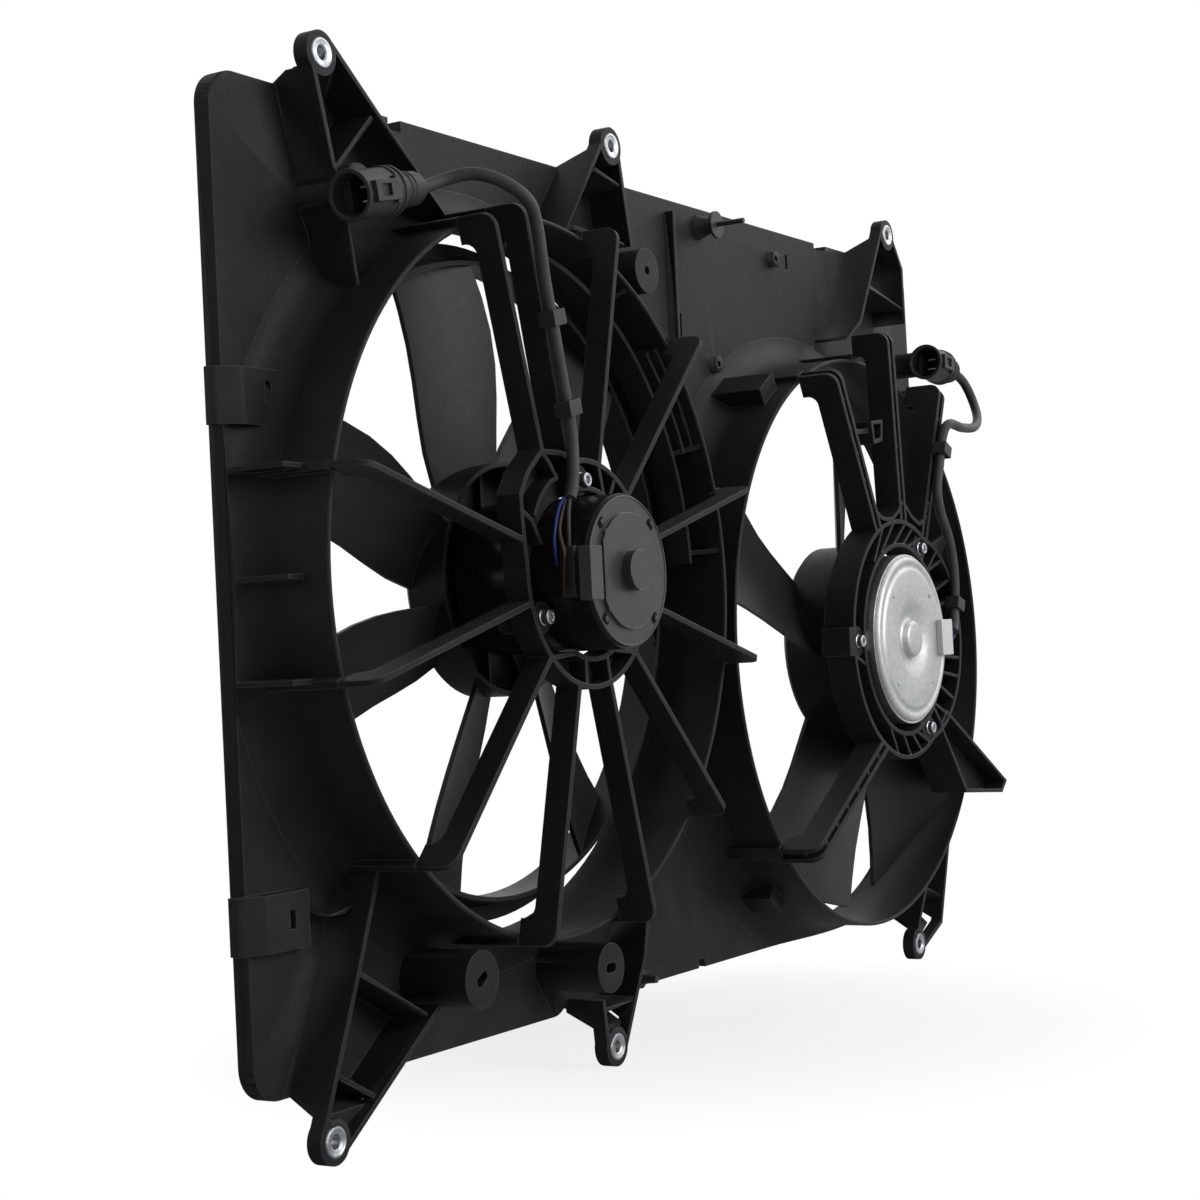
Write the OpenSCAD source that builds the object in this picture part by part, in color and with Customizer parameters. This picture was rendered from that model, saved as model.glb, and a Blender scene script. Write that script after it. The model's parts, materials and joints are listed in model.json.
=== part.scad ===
// Twin radiator cooling fan: one moulded shroud, two throats, two
// motors on strut carriers, a banded seven-blade fan on the left and
// an open five-blade fan on the right.
// Everything is laid out flat first (x right, y up, z toward the
// motors) and then stood upright, so that the seat against the
// radiator is the plane Y = 0 and the motors face -Y.

/* [Panel] */
// Overall width of the moulded panel
panel_w = 788; // [760:2:820]
// Overall height of the moulded panel
panel_h = 480; // [470:2:500]
// Height of the plate face above the radiator seat
plate_face = 9; // [7:0.5:14]
// Thickness of the plate
plate_t = 2.5; // [2:0.1:4]
// Thickness of the rim wall that meets the radiator
rim_t = 2.5; // [2:0.1:5]
// Radius of the panel corners
corner_r = 17; // [8:1:22]
// Thickness of the gusset walls and ribs
rib_t = 2.5; // [1.6:0.1:3.5]

/* [Throats] */
// Inner radius of both air throats
throat_r = 186.5; // [183.5:0.5:187.5]
// Wall of the throats
throat_t = 2.5; // [1.8:0.1:3]
// Distance from the radiator seat to the lip of the throats
lip_w = 58; // [57:0.5:59]
// Radius of the soft foot where a throat rises from the plate
cove_r = 8; // [4:0.5:9]
// Place of the left throat across the panel
left_u = -194.5; // [-196:0.5:-193]
// Place of the left throat up the panel
left_v = 1; // [-4:0.5:6]
// Place of the right throat across the panel
right_u = 191.5; // [190:0.5:193]
// Place of the right throat up the panel
right_v = -41; // [-44:0.5:-38]

/* [Mounting tabs] */
// Radius of the tab ears
ear_r = 11; // [9.5:0.5:13]
// Front face of the ears above the radiator seat
ear_face = 33; // [29:0.5:38]
// Thickness of the ears
ear_t = 8.3; // [6:0.1:10]
// Outer radius of the metal bushings
bushing_r = 7.5; // [6:0.1:8.5]
// Bore radius of the metal bushings, for an M6 screw
bushing_bore_r = 3.3; // [2.6:0.1:4.2]
// Length of the metal bushings
bushing_l = 10; // [8:0.1:14]

/* [Left struts and carrier] */
// Thickness of the flat struts
strut_t = 3; // [2:0.1:4]
// Front edge of the left struts
left_front = 80; // [78:0.5:84]
// Outer radius of the left motor carrier
left_ring_r = 60; // [58:0.5:62]
// Wall of the carrier rings
ring_t = 2.6; // [2:0.1:3.4]
// Inner radius of the left carrier round the motor
left_bore_r = 43; // [41.5:0.5:44]
// Radius of the rounded elbow where a strut turns down to the plate
elbow_r = 8; // [5:0.5:12]

/* [Right struts and carrier] */
// Front edge of the right struts
right_front = 84; // [82:0.5:88]
// Outer radius of the right motor carrier
right_ring_r = 82; // [80:0.5:84]
// Outer radius of the inner wall of the right carrier
right_wall_r = 62.5; // [61:0.5:63]
// Clear slot between the two walls of each right strut
strut_slot = 4; // [3:0.5:6]
// Number of diagonal ribs each way in the right carrier
waffle_n = 18; // [12:1:24]

/* [Left fan] */
// Thickness of the fan blades
blade_t = 2.6; // [1.8:0.1:3.4]
// Number of blades on the left fan
left_blades = 7; // [7:1:7]
// Radius of the left hub
left_hub_r = 62; // [58:0.5:64]
// Inner radius of the ring that joins the blade tips
band_r = 167; // [164:0.5:168]
// Wall of the ring that joins the blade tips
band_t = 2.6; // [2:0.1:3.4]
// Radius of the outward lip at the back of the ring
band_lip_r = 181; // [175:0.5:182]
// Rear edge of the left fan
left_fan_back = 3; // [2:0.5:4]
// Front edge of the left hub
left_hub_front = 31; // [29:0.5:34]

/* [Right fan] */
// Radius of the right hub
right_hub_r = 64; // [62:0.5:66]
// Tip radius of the open blades
tip_r = 178; // [170:0.5:181]
// Rear edge of the right hub
right_hub_back = 25; // [23:0.5:27]
// Front edge of the right hub
right_hub_front = 55; // [53:0.5:56]

/* [Motors] */
// Radius of the left motor case
left_case_r = 40; // [38:0.5:41]
// Front end of the left motor case
left_case_front = 101; // [96:0.5:104]
// Rear end of the left motor case
left_case_back = 22; // [20:0.5:26]
// Radius of the right motor case
right_case_r = 56; // [54:0.5:57.5]
// Front end of the right motor case
right_case_front = 87; // [86:0.5:90]
// Rear end of the right motor case
right_case_back = 38; // [37:0.5:42]
// Wall of the motor cases
case_t = 2; // [1.4:0.1:2.4]
// Radius of the motor shafts
shaft_r = 4; // [3:0.1:5]
// Radius of the motor screws
screw_r = 2.5; // [2:0.1:3]
// Air gap between armature and magnets
air_gap = 0.8; // [0.5:0.1:1.5]

/* [Leads] */
// Radius of the sleeve round the motor leads
lead_r = 3.6; // [2.6:0.1:4]

/* [Hidden] */
$fn = 96;
fit_gap = 0.02;
throat_out = throat_r + throat_t;
plate_back = plate_face - plate_t;
left_c = [left_u, left_v];
right_c = [right_u, right_v];
half_w = panel_w / 2;
half_h = panel_h / 2;
black = [0.07, 0.07, 0.075];
dark = [0.12, 0.12, 0.13];
zinc = [0.78, 0.77, 0.72];
steel = [0.62, 0.63, 0.65];
pale = [0.72, 0.72, 0.68];
copper = [0.72, 0.36, 0.18];

// Tab ear centres: top left, top middle, top right, bottom left,
// bottom middle, bottom right
tab_top = half_h + 12;
tab_low = -half_h - 19.5;
tabs = [[-339, tab_top], [-73, tab_top], [313, tab_top],
  [-366.5, tab_low], [-115, tab_low], [304, tab_low]];

// Screw posts of the left carrier and of the right carrier
left_screw_r = 48.5;
left_screw_a = [92, 207, 330];
right_screw_r = 70;
right_screw_a = [60, 180, 300];
post_r = 8;
head_r = 4.2;

// Left struts: angle at the throat
left_spokes = [165, 195, 226, 255, 285, 315, 345, 15.5, 45, 76];
// Two struts of the left carrier that carry the lead: outer end and
// inner end, from the throat centre
lead_struts = [[[-72.5, 176], [-38, 54]], [[-45.5, 184], [-15.5, 58]]];

// Right struts: outer end and inner end, from the right throat centre
right_arms = [[[-82, 170.5], [-34, 76]], [[1.5, 203], [9, 80]],
  [[87, 173], [44, 72]], [[-143, -128], [-38, -70]]];

function polar(r, a) = [r * cos(a), r * sin(a)];
function unit(v) = v / norm(v);

// ---- helpers ----

// Stands the flat layout upright
module upright() {
  rotate([90, 0, 0]) children();
}

// Moves to a throat axis
module at(c) {
  translate([c[0], c[1], 0]) children();
}

// Plain tube
module tube(ro, ri, w0, w1) {
  translate([0, 0, w0])
  difference() {
    cylinder(r = ro, h = w1 - w0);
    translate([0, 0, -1]) cylinder(r = ri, h = w1 - w0 + 2);
  }
}

// Solid round bar
module bar(r, w0, w1) {
  translate([0, 0, w0]) cylinder(r = r, h = w1 - w0);
}

// Straight wall between two points
module web(a, b, t, w0, w1) {
  d = b - a;
  translate([a[0], a[1], w0])
  rotate([0, 0, atan2(d[1], d[0])])
  translate([0, -t / 2, 0])
  cube([norm(d), t, w1 - w0]);
}

// Wall that follows a row of points, mitred at its corners
function across(v) = [-v[1], v[0]];
function mitre(p, i) = let (
  a = unit(p[max(i, 1)] - p[max(i, 1) - 1]),
  j = min(i + 1, len(p) - 1),
  b = unit(p[j] - p[j - 1]),
  n = unit(across(a + b)))
  n / (n * across(a));
module wall_path(pts, t, w0, w1) {
  m = len(pts);
  translate([0, 0, w0])
  linear_extrude(w1 - w0)
  polygon(concat([for (i = [0:m - 1]) pts[i] + mitre(pts, i) * t / 2],
    [for (i = [m - 1:-1:0]) pts[i] - mitre(pts, i) * t / 2]));
}

// Flat rectangle with round corners
module soft_rect(u0, u1, v0, v1, r) {
  translate([u0 + r, v0]) square([u1 - u0 - 2 * r, v1 - v0]);
  translate([u0, v0 + r]) square([u1 - u0, v1 - v0 - 2 * r]);
  for (p = [[u0 + r, v0 + r], [u1 - r, v0 + r], [u0 + r, v1 - r], [u1 - r, v1 - r]])
  translate(p) circle(r = r);
}

// Sector of a disc, from angle a0 to a1, at most 170 degrees wide
module sector(r, a0, a1) {
  m = (a0 + a1) / 2;
  polygon([[0, 0], polar(r * 2.2, a0), polar(r * 3, m), polar(r * 2.2, a1)]);
}

// Curved wall between two angles
module arc_wall(ro, ri, a0, a1, w0, w1) {
  intersection() {
    tube(ro, ri, w0, w1);
    translate([0, 0, w0 - 1]) linear_extrude(w1 - w0 + 2) sector(ro, a0, a1);
  }
}

// Long hole with round ends
module slot_hole(l, r, h) {
  linear_extrude(h) {
    translate([-l / 2, -r]) square([l, 2 * r]);
    for (x = [-l / 2, l / 2]) translate([x, 0]) circle(r = r);
  }
}

// Strut standing on edge, from inner point a to outer point b, with a
// rounded elbow at its outer front corner
module strut(a, b, t, w0, w1, r) {
  d = b - a;
  l = norm(d);
  translate([a[0], a[1], 0])
  rotate([0, 0, atan2(d[1], d[0])])
  rotate([90, 0, 0])
  translate([0, 0, -t / 2])
  linear_extrude(t) {
    translate([0, w0]) square([l - r, w1 - w0]);
    translate([0, w0]) square([l, w1 - w0 - r]);
    translate([l - r, w1 - r]) circle(r = r);
  }
}

// Smooth curve through chosen points
function curve_at(p, i, s) = let (
  a = p[max(i - 1, 0)],
  b = p[i],
  c = p[i + 1],
  d = p[min(i + 2, len(p) - 1)])
  0.5 * ((2 * b) + (c - a) * s + (2 * a - 5 * b + 4 * c - d) * s * s
  + (3 * b - a - 3 * c + d) * s * s * s);
function curve(p, k) = concat(
  [for (i = [0:len(p) - 2]) for (j = [0:k - 1]) curve_at(p, i, j / k)],
  [p[len(p) - 1]]);
function heading(q, i) = unit(q[min(i + 1, len(q) - 1)] - q[max(i - 1, 0)]);
function side_of(q, i) = let (t = heading(q, i),
  s = i == 0 ? [0.31, 0.23, 0.92] : side_of(q, i - 1))
  unit(s - t * (s * t));

// Round cable along a smooth curve
module cable(p, k, r, n) {
  q = curve(p, k);
  m = len(q);
  pts = [for (i = [0:m - 1]) let (t = heading(q, i), s = side_of(q, i),
    c = cross(t, s)) for (j = [0:n - 1])
    q[i] + r * (s * cos(360 * j / n) + c * sin(360 * j / n))];
  sides = [for (i = [0:m - 2]) for (j = [0:n - 1])
    [i * n + j, (i + 1) * n + j, (i + 1) * n + (j + 1) % n, i * n + (j + 1) % n]];
  first = [[for (j = [0:n - 1]) j]];
  last = [[for (j = [0:n - 1]) (m - 1) * n + n - 1 - j]];
  polyhedron(points = pts, faces = concat(sides, first, last), convexity = 6);
}

// ---- shroud ----

// Solid that the outside of a throat fills, used to seat ribs on it
module throat_core() {
  rotate_extrude()
  polygon(concat([[0, plate_face]],
    [for (a = [90:-15:0]) [throat_out + cove_r * (1 - cos(a)),
      plate_face + cove_r * (1 - sin(a))]],
    [[throat_out, 90], [0, 90]]));
}

// Flat outline of the panel
module outline() {
  difference() {
    union() {
      soft_rect(-half_w, half_w, -half_h + 3, half_h, corner_r);
      soft_rect(-half_w, -124, -half_h, half_h - 60, corner_r);
    }
    translate([-256, half_h - 6]) square([11, 10]);
    translate([240, half_h - 4]) square([18, 10]);
    translate([296, half_h - 4]) square([8, 10]);
    translate([24, -half_h - 4]) square([8, 12]);
  }
}

// Outline of the hollow behind the plate
module hollow() {
  difference() {
    soft_rect(-half_w + rim_t, half_w - rim_t, -half_h + 3 + rim_t, half_h - rim_t,
      corner_r - rim_t);
    translate([-258, half_h - 8.5]) square([16, 14]);
    translate([238, half_h - 6.5]) square([22, 14]);
    translate([294, half_h - 6.5]) square([12, 14]);
    translate([21.5, -half_h - 4]) square([13, 14.5]);
  }
}

// Walls of the six gusset channels, in plan
tl_left = [[-345.5, 245.4], [-333, 198], [-325, 171], [-318, 139]];
tl_right = [[-331, 258], [-268, 208], [-257, 200], [-242, 187]];
tm_left = [[-82, 253], [-129, 194]];
tm_right = [[-64.5, 247.5], [-55, 196]];
tr_left = [[304.2, 255], [260, 184], [234, 170]];
tr_right = [[322, 250], [337, 230], [336, 190]];
bl_left = [[-374, -254], [-343, -184], [-323, -136]];
bl_right = [[-358, -264], [-280, -211]];
bm_left = [[-123.6, -262.6], [-127, -232]];
bm_right = [[-106.6, -263], [-80, -214], [-75, -194]];
br_left = [[295.2, -262.4], [332, -205]];
br_right = [[312.6, -262.5], [346, -249], [367, -193]];

module tab_walls() {
  for (p = [tl_left, tl_right, tm_left, tm_right, tr_left, tr_right, bl_left,
    bl_right, bm_left, bm_right, br_left, br_right])
  wall_path(p, rib_t, plate_back, ear_face);
  // Cross ribs inside the channels
  web([-333, 196], [-300, 228], rib_t, plate_back, ear_face - 1);
  web([-116, 199], [-62, 196], rib_t, plate_back, ear_face - 1);
  web([-91, 236], [-64, 230], rib_t, plate_back, ear_face - 1);
  web([280, 211], [336, 200], rib_t, plate_back, ear_face - 1);
  web([-343, -185], [-290, -214], rib_t, plate_back, ear_face - 1);
  web([-364, -229], [-334, -245], rib_t, plate_back, ear_face - 1);
  web([-124, -238], [-94, -236], rib_t, plate_back, ear_face - 1);
  web([322, -222], [352, -232], rib_t, plate_back, ear_face - 1);
}

// Room under the ears, outside the panel edge
module ear_relief() {
  for (s = [0, 1]) mirror([0, s, 0])
  translate([-half_w - 10, half_h - 3 * s, 0])
  rotate([90, 0, 90])
  linear_extrude(panel_w + 20)
  polygon([[0, -1], [0, plate_back], [9, ear_face - ear_t],
    [60, ear_face - ear_t], [60, -1]]);
}

module screw_post(p, r, face, l, a) {
  translate([p[0], p[1], 0])
  difference() {
    bar(r, plate_back, face);
    translate([0, 0, face - 24]) rotate([0, 0, a]) slot_hole(l, 3.3, 30);
    tube(r - 2.2, 7.4, face - 1.2, face + 4);
  }
}

module edge_clip(v0, v1, u_in, slot_v) {
  difference() {
    union() {
      translate([-half_w - 14, v0, 0]) cube([3, v1 - v0, 16]);
      translate([-half_w - 14, v0, 13]) cube([u_in + half_w + 14, v1 - v0, 3]);
      translate([-half_w - 14, v0, plate_back]) cube([u_in + half_w + 14, 2.5, 7]);
      translate([-half_w - 14, v1 - 2.5, plate_back])
      cube([u_in + half_w + 14, 2.5, 7]);
      translate([-half_w - 14, v0, 4]) cube([14.5, v1 - v0, 3]);
    }
    translate([-half_w + 8, slot_v - 4, 12]) cube([6, 8, 6]);
  }
}

module shroud_panel() {
  color(black)
  upright() {
    difference() {
      union() {
        linear_extrude(plate_face) outline();
        difference() {
          tab_walls();
          ear_relief();
        }
        for (p = tabs) translate([p[0], p[1], 0]) bar(ear_r, ear_face - ear_t, ear_face);
        screw_post([-267, -199], 14.5, 50, 5, 30);
        screw_post([-145, -211], 13.5, 50, 5, 0);
        screw_post([-68, 178], 13, 50, 0.4, 0);
        // Stand-off posts that carry the two connectors
        translate([-322, 189, 0]) bar(12, plate_back, left_conn_p[2] - 9);
        translate([322, 157, 0]) bar(9, plate_back, right_conn_p[2] - 9);
        translate([-61, 160, plate_back]) cube([11, 9, 20]);
        for (p = [[172, 220], [83, 141]]) translate([p[0], p[1], 0])
        bar(5.5, plate_back, 13);
        web([34.5, 233], [34, 152], 2.2, plate_back, 15);
        web([42, 233], [42, 152], 2.2, plate_back, 15);
        edge_clip(73, 100, -361, 89);
        edge_clip(-172, -141, -354, -157);
        // Thin rib from the lower clip to the left gusset
        wall_path([[-350, -157], [-338, -157], [-325, -150]], 2, plate_back, 22);
        // Small barbed peg beside the lower middle tab
        translate([-70, -229, 0]) bar(4.5, plate_back, 22);
      }
      translate([0, 0, -1]) linear_extrude(plate_back + 1) hollow();
      for (c = [left_c, right_c]) at(c) {
        throat_core();
        bar(throat_r, -1, plate_face + 1);
      }
      at(left_c) left_feet();
      at(right_c) right_feet();
      for (p = tabs) translate([p[0], p[1], 0])
      bar(bushing_r + fit_gap, ear_face - ear_t - 1, ear_face + 1);
      for (p = [[172, 220], [83, 141]]) translate([p[0], p[1], 0]) bar(2, -1, 20);
      translate([193, 216, -1]) cube([4, 10, 20]);
      for (p = stud_places) translate([p[0], p[1], 0]) bar(3.02, -1, 30);
    }
  }
}

stud_places = [[71.5, 228], [-70, -229]];

// Foot of a strut on the outside of a throat
module foot(p, t, w1) {
  a = atan2(p[1], p[0]);
  r = norm(p);
  rotate([0, 0, a])
  translate([throat_out - 1, -t / 2, plate_face])
  cube([r - throat_out + 1, t, w1 - plate_face]);
}

module left_feet() {
  for (a = left_spokes) foot(polar(throat_out + 4, a), 4, lip_w);
  for (s = lead_struts) foot(unit(s[0]) * (throat_out + 4), 4, lip_w);
  // Stiffening ribs on the open left side
  for (a = [150, 180]) foot(polar(throat_out + 3, a), 3, lip_w - 6);
}

module right_feet() {
  for (s = right_arms) foot(s[0] + unit(s[0]) * 2, 2 * strut_t + strut_slot, lip_w);
  foot([170.5, -109], 9, lip_w);
}

module throat_wall() {
  rotate_extrude()
  polygon(concat([[throat_r, plate_face], [throat_out + cove_r, plate_face]],
    [for (a = [75:-15:0]) [throat_out + cove_r * (1 - cos(a)),
      plate_face + cove_r * (1 - sin(a))]],
    [[throat_out, lip_w - 0.8], [throat_out - 0.8, lip_w], [throat_r + 0.8, lip_w],
    [throat_r, lip_w - 0.8]]));
}

// Plane halfway between the two throats, as a cutter for one side
module halfway(side) {
  d = right_c - left_c;
  m = (left_c + right_c) / 2;
  translate([m[0], m[1], 0])
  rotate([0, 0, atan2(d[1], d[0]) + side])
  translate([0, -120, 0]) cube([120, 240, 100]);
}

module left_throat() {
  color(black)
  upright() {
    difference() {
      at(left_c) {
        throat_wall();
        left_feet();
        // Inner guard with its cross ribs, upper right quarter
        arc_wall(173.5, 171, 4, 90, 34, lip_w);
        for (a = [5, 28, 56, 88.5]) rotate([0, 0, a])
        translate([171.5, -1.25, 38]) cube([throat_r - 171, 2.5, lip_w - 38]);
      }
      halfway(0);
    }
  }
}

module right_throat() {
  color(black)
  upright() {
    difference() {
      at(right_c) {
        throat_wall();
        right_feet();
        // Box ledge on the upper left of the barrel
        rotate([0, 0, 123]) translate([throat_out - 1, -11, plate_face])
        cube([12, 22, 37]);
        // Ledge at the lower left
        rotate([0, 0, 236]) translate([throat_out - 1, -9, plate_face])
        cube([10, 18, 26]);
      }
      halfway(180);
    }
  }
}

// ---- left carrier ----

module left_motor_carrier() {
  f = left_front;
  ro = left_ring_r;
  ri = left_bore_r;
  color(black)
  upright() at(left_c)
  difference() {
    union() {
      difference() {
        tube(ro, ro - ring_t, lip_w, f);
        // The lobe opens the ring on its upper left side
        translate([0, 0, lip_w + 3]) linear_extrude(f)
        sector(ro + 2, 119, 151);
      }
      // Lobe that swells out on the upper left
      arc_wall(ro + 13, ro + 13 - ring_t, 114, 156, lip_w, f);
      arc_wall(ro + 13, ri, 114, 156, lip_w, lip_w + 3);
    for (a = [115.2, 154.8]) web(polar(ro - 1.3, a), polar(ro + 11.6, a), ring_t, lip_w, f);
      // Floor and inner wall round the motor
      tube(ro, ri, lip_w, lip_w + 3);
      arc_wall(ri + ring_t, ri, -148, 1, lip_w, f);
      arc_wall(ri + ring_t, ri, 0, 148, lip_w, f);
      // Cell ribs
      for (a = [-120, -100, -80, -60, -30, 0, 30, 60, 114, 148])
      web(polar(ri + 1, a), polar(ro - 1, a), 2.2, lip_w, f - 1.5);
      for (a = left_screw_a) translate(polar(left_screw_r, a)) bar(post_r, lip_w, f - 3);
      // Pocket wall round the top screw
      arc_wall(ro - 1, ri + 1, 78, 80.5, lip_w, f);
      arc_wall(ro - 1, ri + 1, 103, 105.5, lip_w, f);
    }
    for (a = left_screw_a) translate(polar(left_screw_r, a)) {
      bar(screw_r + 0.2, lip_w - 1, f + 1);
      bar(head_r + 0.4, f - 3, f + 1);
    }
    bar(ri, lip_w - 1, f + 1);
  }
}

module left_struts() {
  f = left_front;
  color(black)
  upright() at(left_c)
  difference() {
    union() {
      for (a = left_spokes)
      strut(polar(left_ring_r - 4, a), polar(throat_out + 4, a), strut_t, lip_w, f, elbow_r);
      for (s = lead_struts)
      strut(s[1] * 0.9, unit(s[0]) * (throat_out + 4), strut_t, lip_w, f, elbow_r);
    }
    bar(left_ring_r, 0, 120);
    intersection() {
      bar(left_ring_r + 13, 0, 120);
      linear_extrude(120) sector(80, 114, 156);
    }
  }
}

// ---- right carrier ----

module right_motor_carrier() {
  f = right_front;
  ro = right_ring_r;
  rw = right_wall_r;
  color(black)
  upright() at(right_c)
  difference() {
    union() {
      tube(ro, ro - ring_t, lip_w, f);
      tube(rw, rw - ring_t, lip_w, f + 2);
      tube(ro, rw - ring_t, lip_w, lip_w + 2.5);
      for (i = [0:waffle_n - 1]) {
        a = i * 360 / waffle_n;
        web(polar(rw - 1.9, a + 0.7), polar(ro - 1.2, a + 13), 1.8, lip_w, f - 1);
        web(polar(rw - 1.9, a - 0.7), polar(ro - 1.2, a - 13), 1.8, lip_w, f - 1);
      }
      for (a = right_screw_a) translate(polar(right_screw_r, a))
      bar(post_r + 1.5, lip_w, f - 2);
      // Lug on the open side
      translate([-ro - 6, -9, lip_w]) cube([12, 18, f - lip_w]);
    }
    for (a = right_screw_a) {
      translate(polar(right_screw_r, a)) bar(screw_r + 0.2, lip_w - 1, f + 1);
      translate(polar(right_screw_r, a)) bar(post_r + 1.8, 78, f + 9);
      rotate([0, 0, a]) translate([rw - ring_t - 2, 0.8 - post_r, 78])
      cube([7, 2 * post_r - 1.6, 20]);
    }
    bar(rw - ring_t, lip_w - 1, f + 4);
  }
}

module double_arm(s) {
  d = unit(s[0] - s[1]);
  n = [-d[1], d[0]];
  o = (strut_slot + strut_t) / 2;
  for (k = [-1, 1])
  strut(s[1] + n * o * k, s[0] + unit(s[0]) * 2 + n * o * k, strut_t, lip_w,
    right_front, elbow_r);
  web(s[0] - d * 7, s[0] - d * 1, strut_slot + 1, lip_w + 1, right_front - elbow_r - 3);
  web(s[1] + d * 16, s[1] + d * 24, strut_slot + 1, lip_w, right_front - 4);
}

module right_struts() {
  color(black)
  upright() at(right_c)
  difference() {
    union() {
      for (s = right_arms) double_arm(s);
      // Three-sided plate at the lower right
      difference() {
        translate([0, 0, lip_w])
        linear_extrude(right_front - lip_w)
        polygon([[168, -106], [158, -114], [92, -109], [50, -58], [64, -48]]);
        translate([0, 0, lip_w - 1])
        linear_extrude(right_front - lip_w - 2)
        polygon([[154, -102], [150, -108], [95, -105.5], [60, -60], [64, -54]]);
        translate([120, -98, lip_w]) bar(2.2, -1, 60);
      }
      // Clip block across the upper left arm
      translate([-68, 130, lip_w + 4])
      rotate([0, 0, -14]) cube([42, 11, right_front - lip_w - 2]);
    }
    bar(right_ring_r, 0, 120);
  }
}

// ---- small metal parts of the shroud ----

module mount_bushings() {
  color(zinc)
  upright() for (p = tabs) translate([p[0], p[1], 0])
  difference() {
    w1 = ear_face + (bushing_l - ear_t) / 2;
    bar(bushing_r, w1 - bushing_l, w1);
    bar(bushing_bore_r, w1 - bushing_l - 1, w1 + 1);
  }
}

module harness_studs() {
  color(dark)
  upright() {
    translate([stud_places[0][0], stud_places[0][1], 0]) {
      bar(3, plate_back - 2, plate_face);
      translate([0, 0, plate_face]) cylinder(r1 = 8, r2 = 4, h = 12);
      bar(8.5, plate_face + 12, plate_face + 14);
      bar(1.6, plate_face + 14, plate_face + 33);
    }
    translate([stud_places[1][0], stud_places[1][1], 0]) {
      bar(3, 16, 22);
      bar(5.5, 22, 24);
      translate([0, 0, 24]) cylinder(r1 = 3, r2 = 2, h = 10);
    }
  }
}

// ---- motors ----

bearing_r = 9.5;
bearing_l = 8;

// Pressed steel can, closed at the back with a bearing seat
module can(r, w0, w1) {
  difference() {
    union() {
      bar(r, w0, w1);
      bar(bearing_r + 2.5, w0 - 5, w0 + 1);
    }
    bar(r - case_t, w0 + case_t, w1 + 1);
    bar(bearing_r + fit_gap, w0 - 3, w0 + 5);
    bar(shaft_r + 1.5, w0 - 6, w0 + 5);
  }
}

module bearing_pair(w_back, w_front) {
  for (w = [w_back, w_front])
  tube(bearing_r, shaft_r + fit_gap, w, w + bearing_l);
}

module magnet_pair(r, w0, w1) {
  for (m = [0, 180]) rotate([0, 0, m])
  arc_wall(r, r - 6, -62, 62, w0, w1);
}

module armature_stack(r, w0, w1, slots) {
  difference() {
    bar(r, w0, w1);
    bar(shaft_r, w0 - 1, w1 + 1);
    for (i = [0:slots - 1]) rotate([0, 0, i * 360 / slots]) {
      translate([r * 0.72, 0, 0]) bar(r * 0.14, w0 - 1, w1 + 1);
      translate([r * 0.8, -0.8, w0 - 1]) cube([r, 1.6, w1 - w0 + 2]);
    }
  }
}

module winding_heads(r, w0, w1, over) {
  tube(r * 0.86, r * 0.5, w0 - over, w0);
  tube(r * 0.86, r * 0.5, w1, w1 + over);
}

module commutator_ring(w0, w1) {
  difference() {
    tube(11, shaft_r + fit_gap, w0, w1);
    for (i = [0:11]) rotate([0, 0, i * 30])
    translate([10, -0.3, w0 - 1]) cube([3, 0.6, w1 - w0 + 2]);
  }
}

module brush_holder(r, w, hole) {
  difference() {
    union() {
      tube(r, hole, w, w + 2);
      for (a = [45, 225]) rotate([0, 0, a])
      translate([hole - 0.2, -3.5, w - 5]) cube([9, 7, 6]);
    }
    bar(hole, w - 9, w + 9);
  }
}

module hex_nut(r, bore, w0, w1) {
  difference() {
    translate([0, 0, w0]) cylinder(r = r, h = w1 - w0, $fn = 6);
    bar(bore, w0 - 1, w1 + 1);
  }
}

module cap_screw(w_head, w_tip, head_h) {
  difference() {
    bar(head_r, w_head, w_head + head_h);
    translate([0, 0, w_head + head_h - 1.6]) cylinder(r = 2.3, h = 3, $fn = 6);
  }
  bar(screw_r - 0.05, w_tip, w_head + 0.5);
}

left_ear_w = lip_w;
left_arm_back = left_case_back + 12;
left_arm_front = left_case_front - 28;
left_arm_r = left_case_r - case_t - 6 - air_gap;
right_arm_back = right_case_back + 9;
right_arm_front = right_case_front - 16;
right_arm_r = right_case_r - case_t - 6 - air_gap;
left_face = left_case_front + 1.5;
right_face = right_case_front + 1.5;

module left_motor_case() {
  color(steel)
  upright() at(left_c)
  difference() {
    union() {
      can(left_case_r, left_case_back, left_case_front);
      for (a = left_screw_a) {
        translate(polar(left_screw_r, a)) bar(post_r, left_ear_w - 4, left_ear_w);
        rotate([0, 0, a]) translate([left_case_r - 1, 1 - post_r, left_ear_w - 4])
        cube([left_screw_r - left_case_r + 1, 2 * post_r - 2, 4]);
      }
    }
    for (a = left_screw_a) translate(polar(left_screw_r, a))
    bar(screw_r, left_ear_w - 6, left_ear_w + 2);
  }
}

module left_motor_end_plate() {
  color(dark)
  upright() at(left_c)
  difference() {
    union() {
      bar(left_case_r - 1.4, left_case_front, left_face);
      difference() {
        bar(30, left_face, left_face + 2);
        translate([-60, -20, left_face]) cube([34, 40, 10]);
      }
      bar(10.4, left_face, left_face + 8);
      bar(left_case_r - case_t - fit_gap, left_case_front - 2, left_case_front);
      bar(bearing_r + 2.4, left_case_front - 4, left_case_front);
    }
    bar(bearing_r + fit_gap, left_case_front - 5, left_face + 3);
    bar(shaft_r + 1, left_case_front - 6, left_face + 5);
  }
}

module left_brush_card() {
  color(pale)
  upright() at(left_c)
  brush_holder(left_case_r - case_t - fit_gap, left_case_front - 10, 11.3);
}

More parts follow.
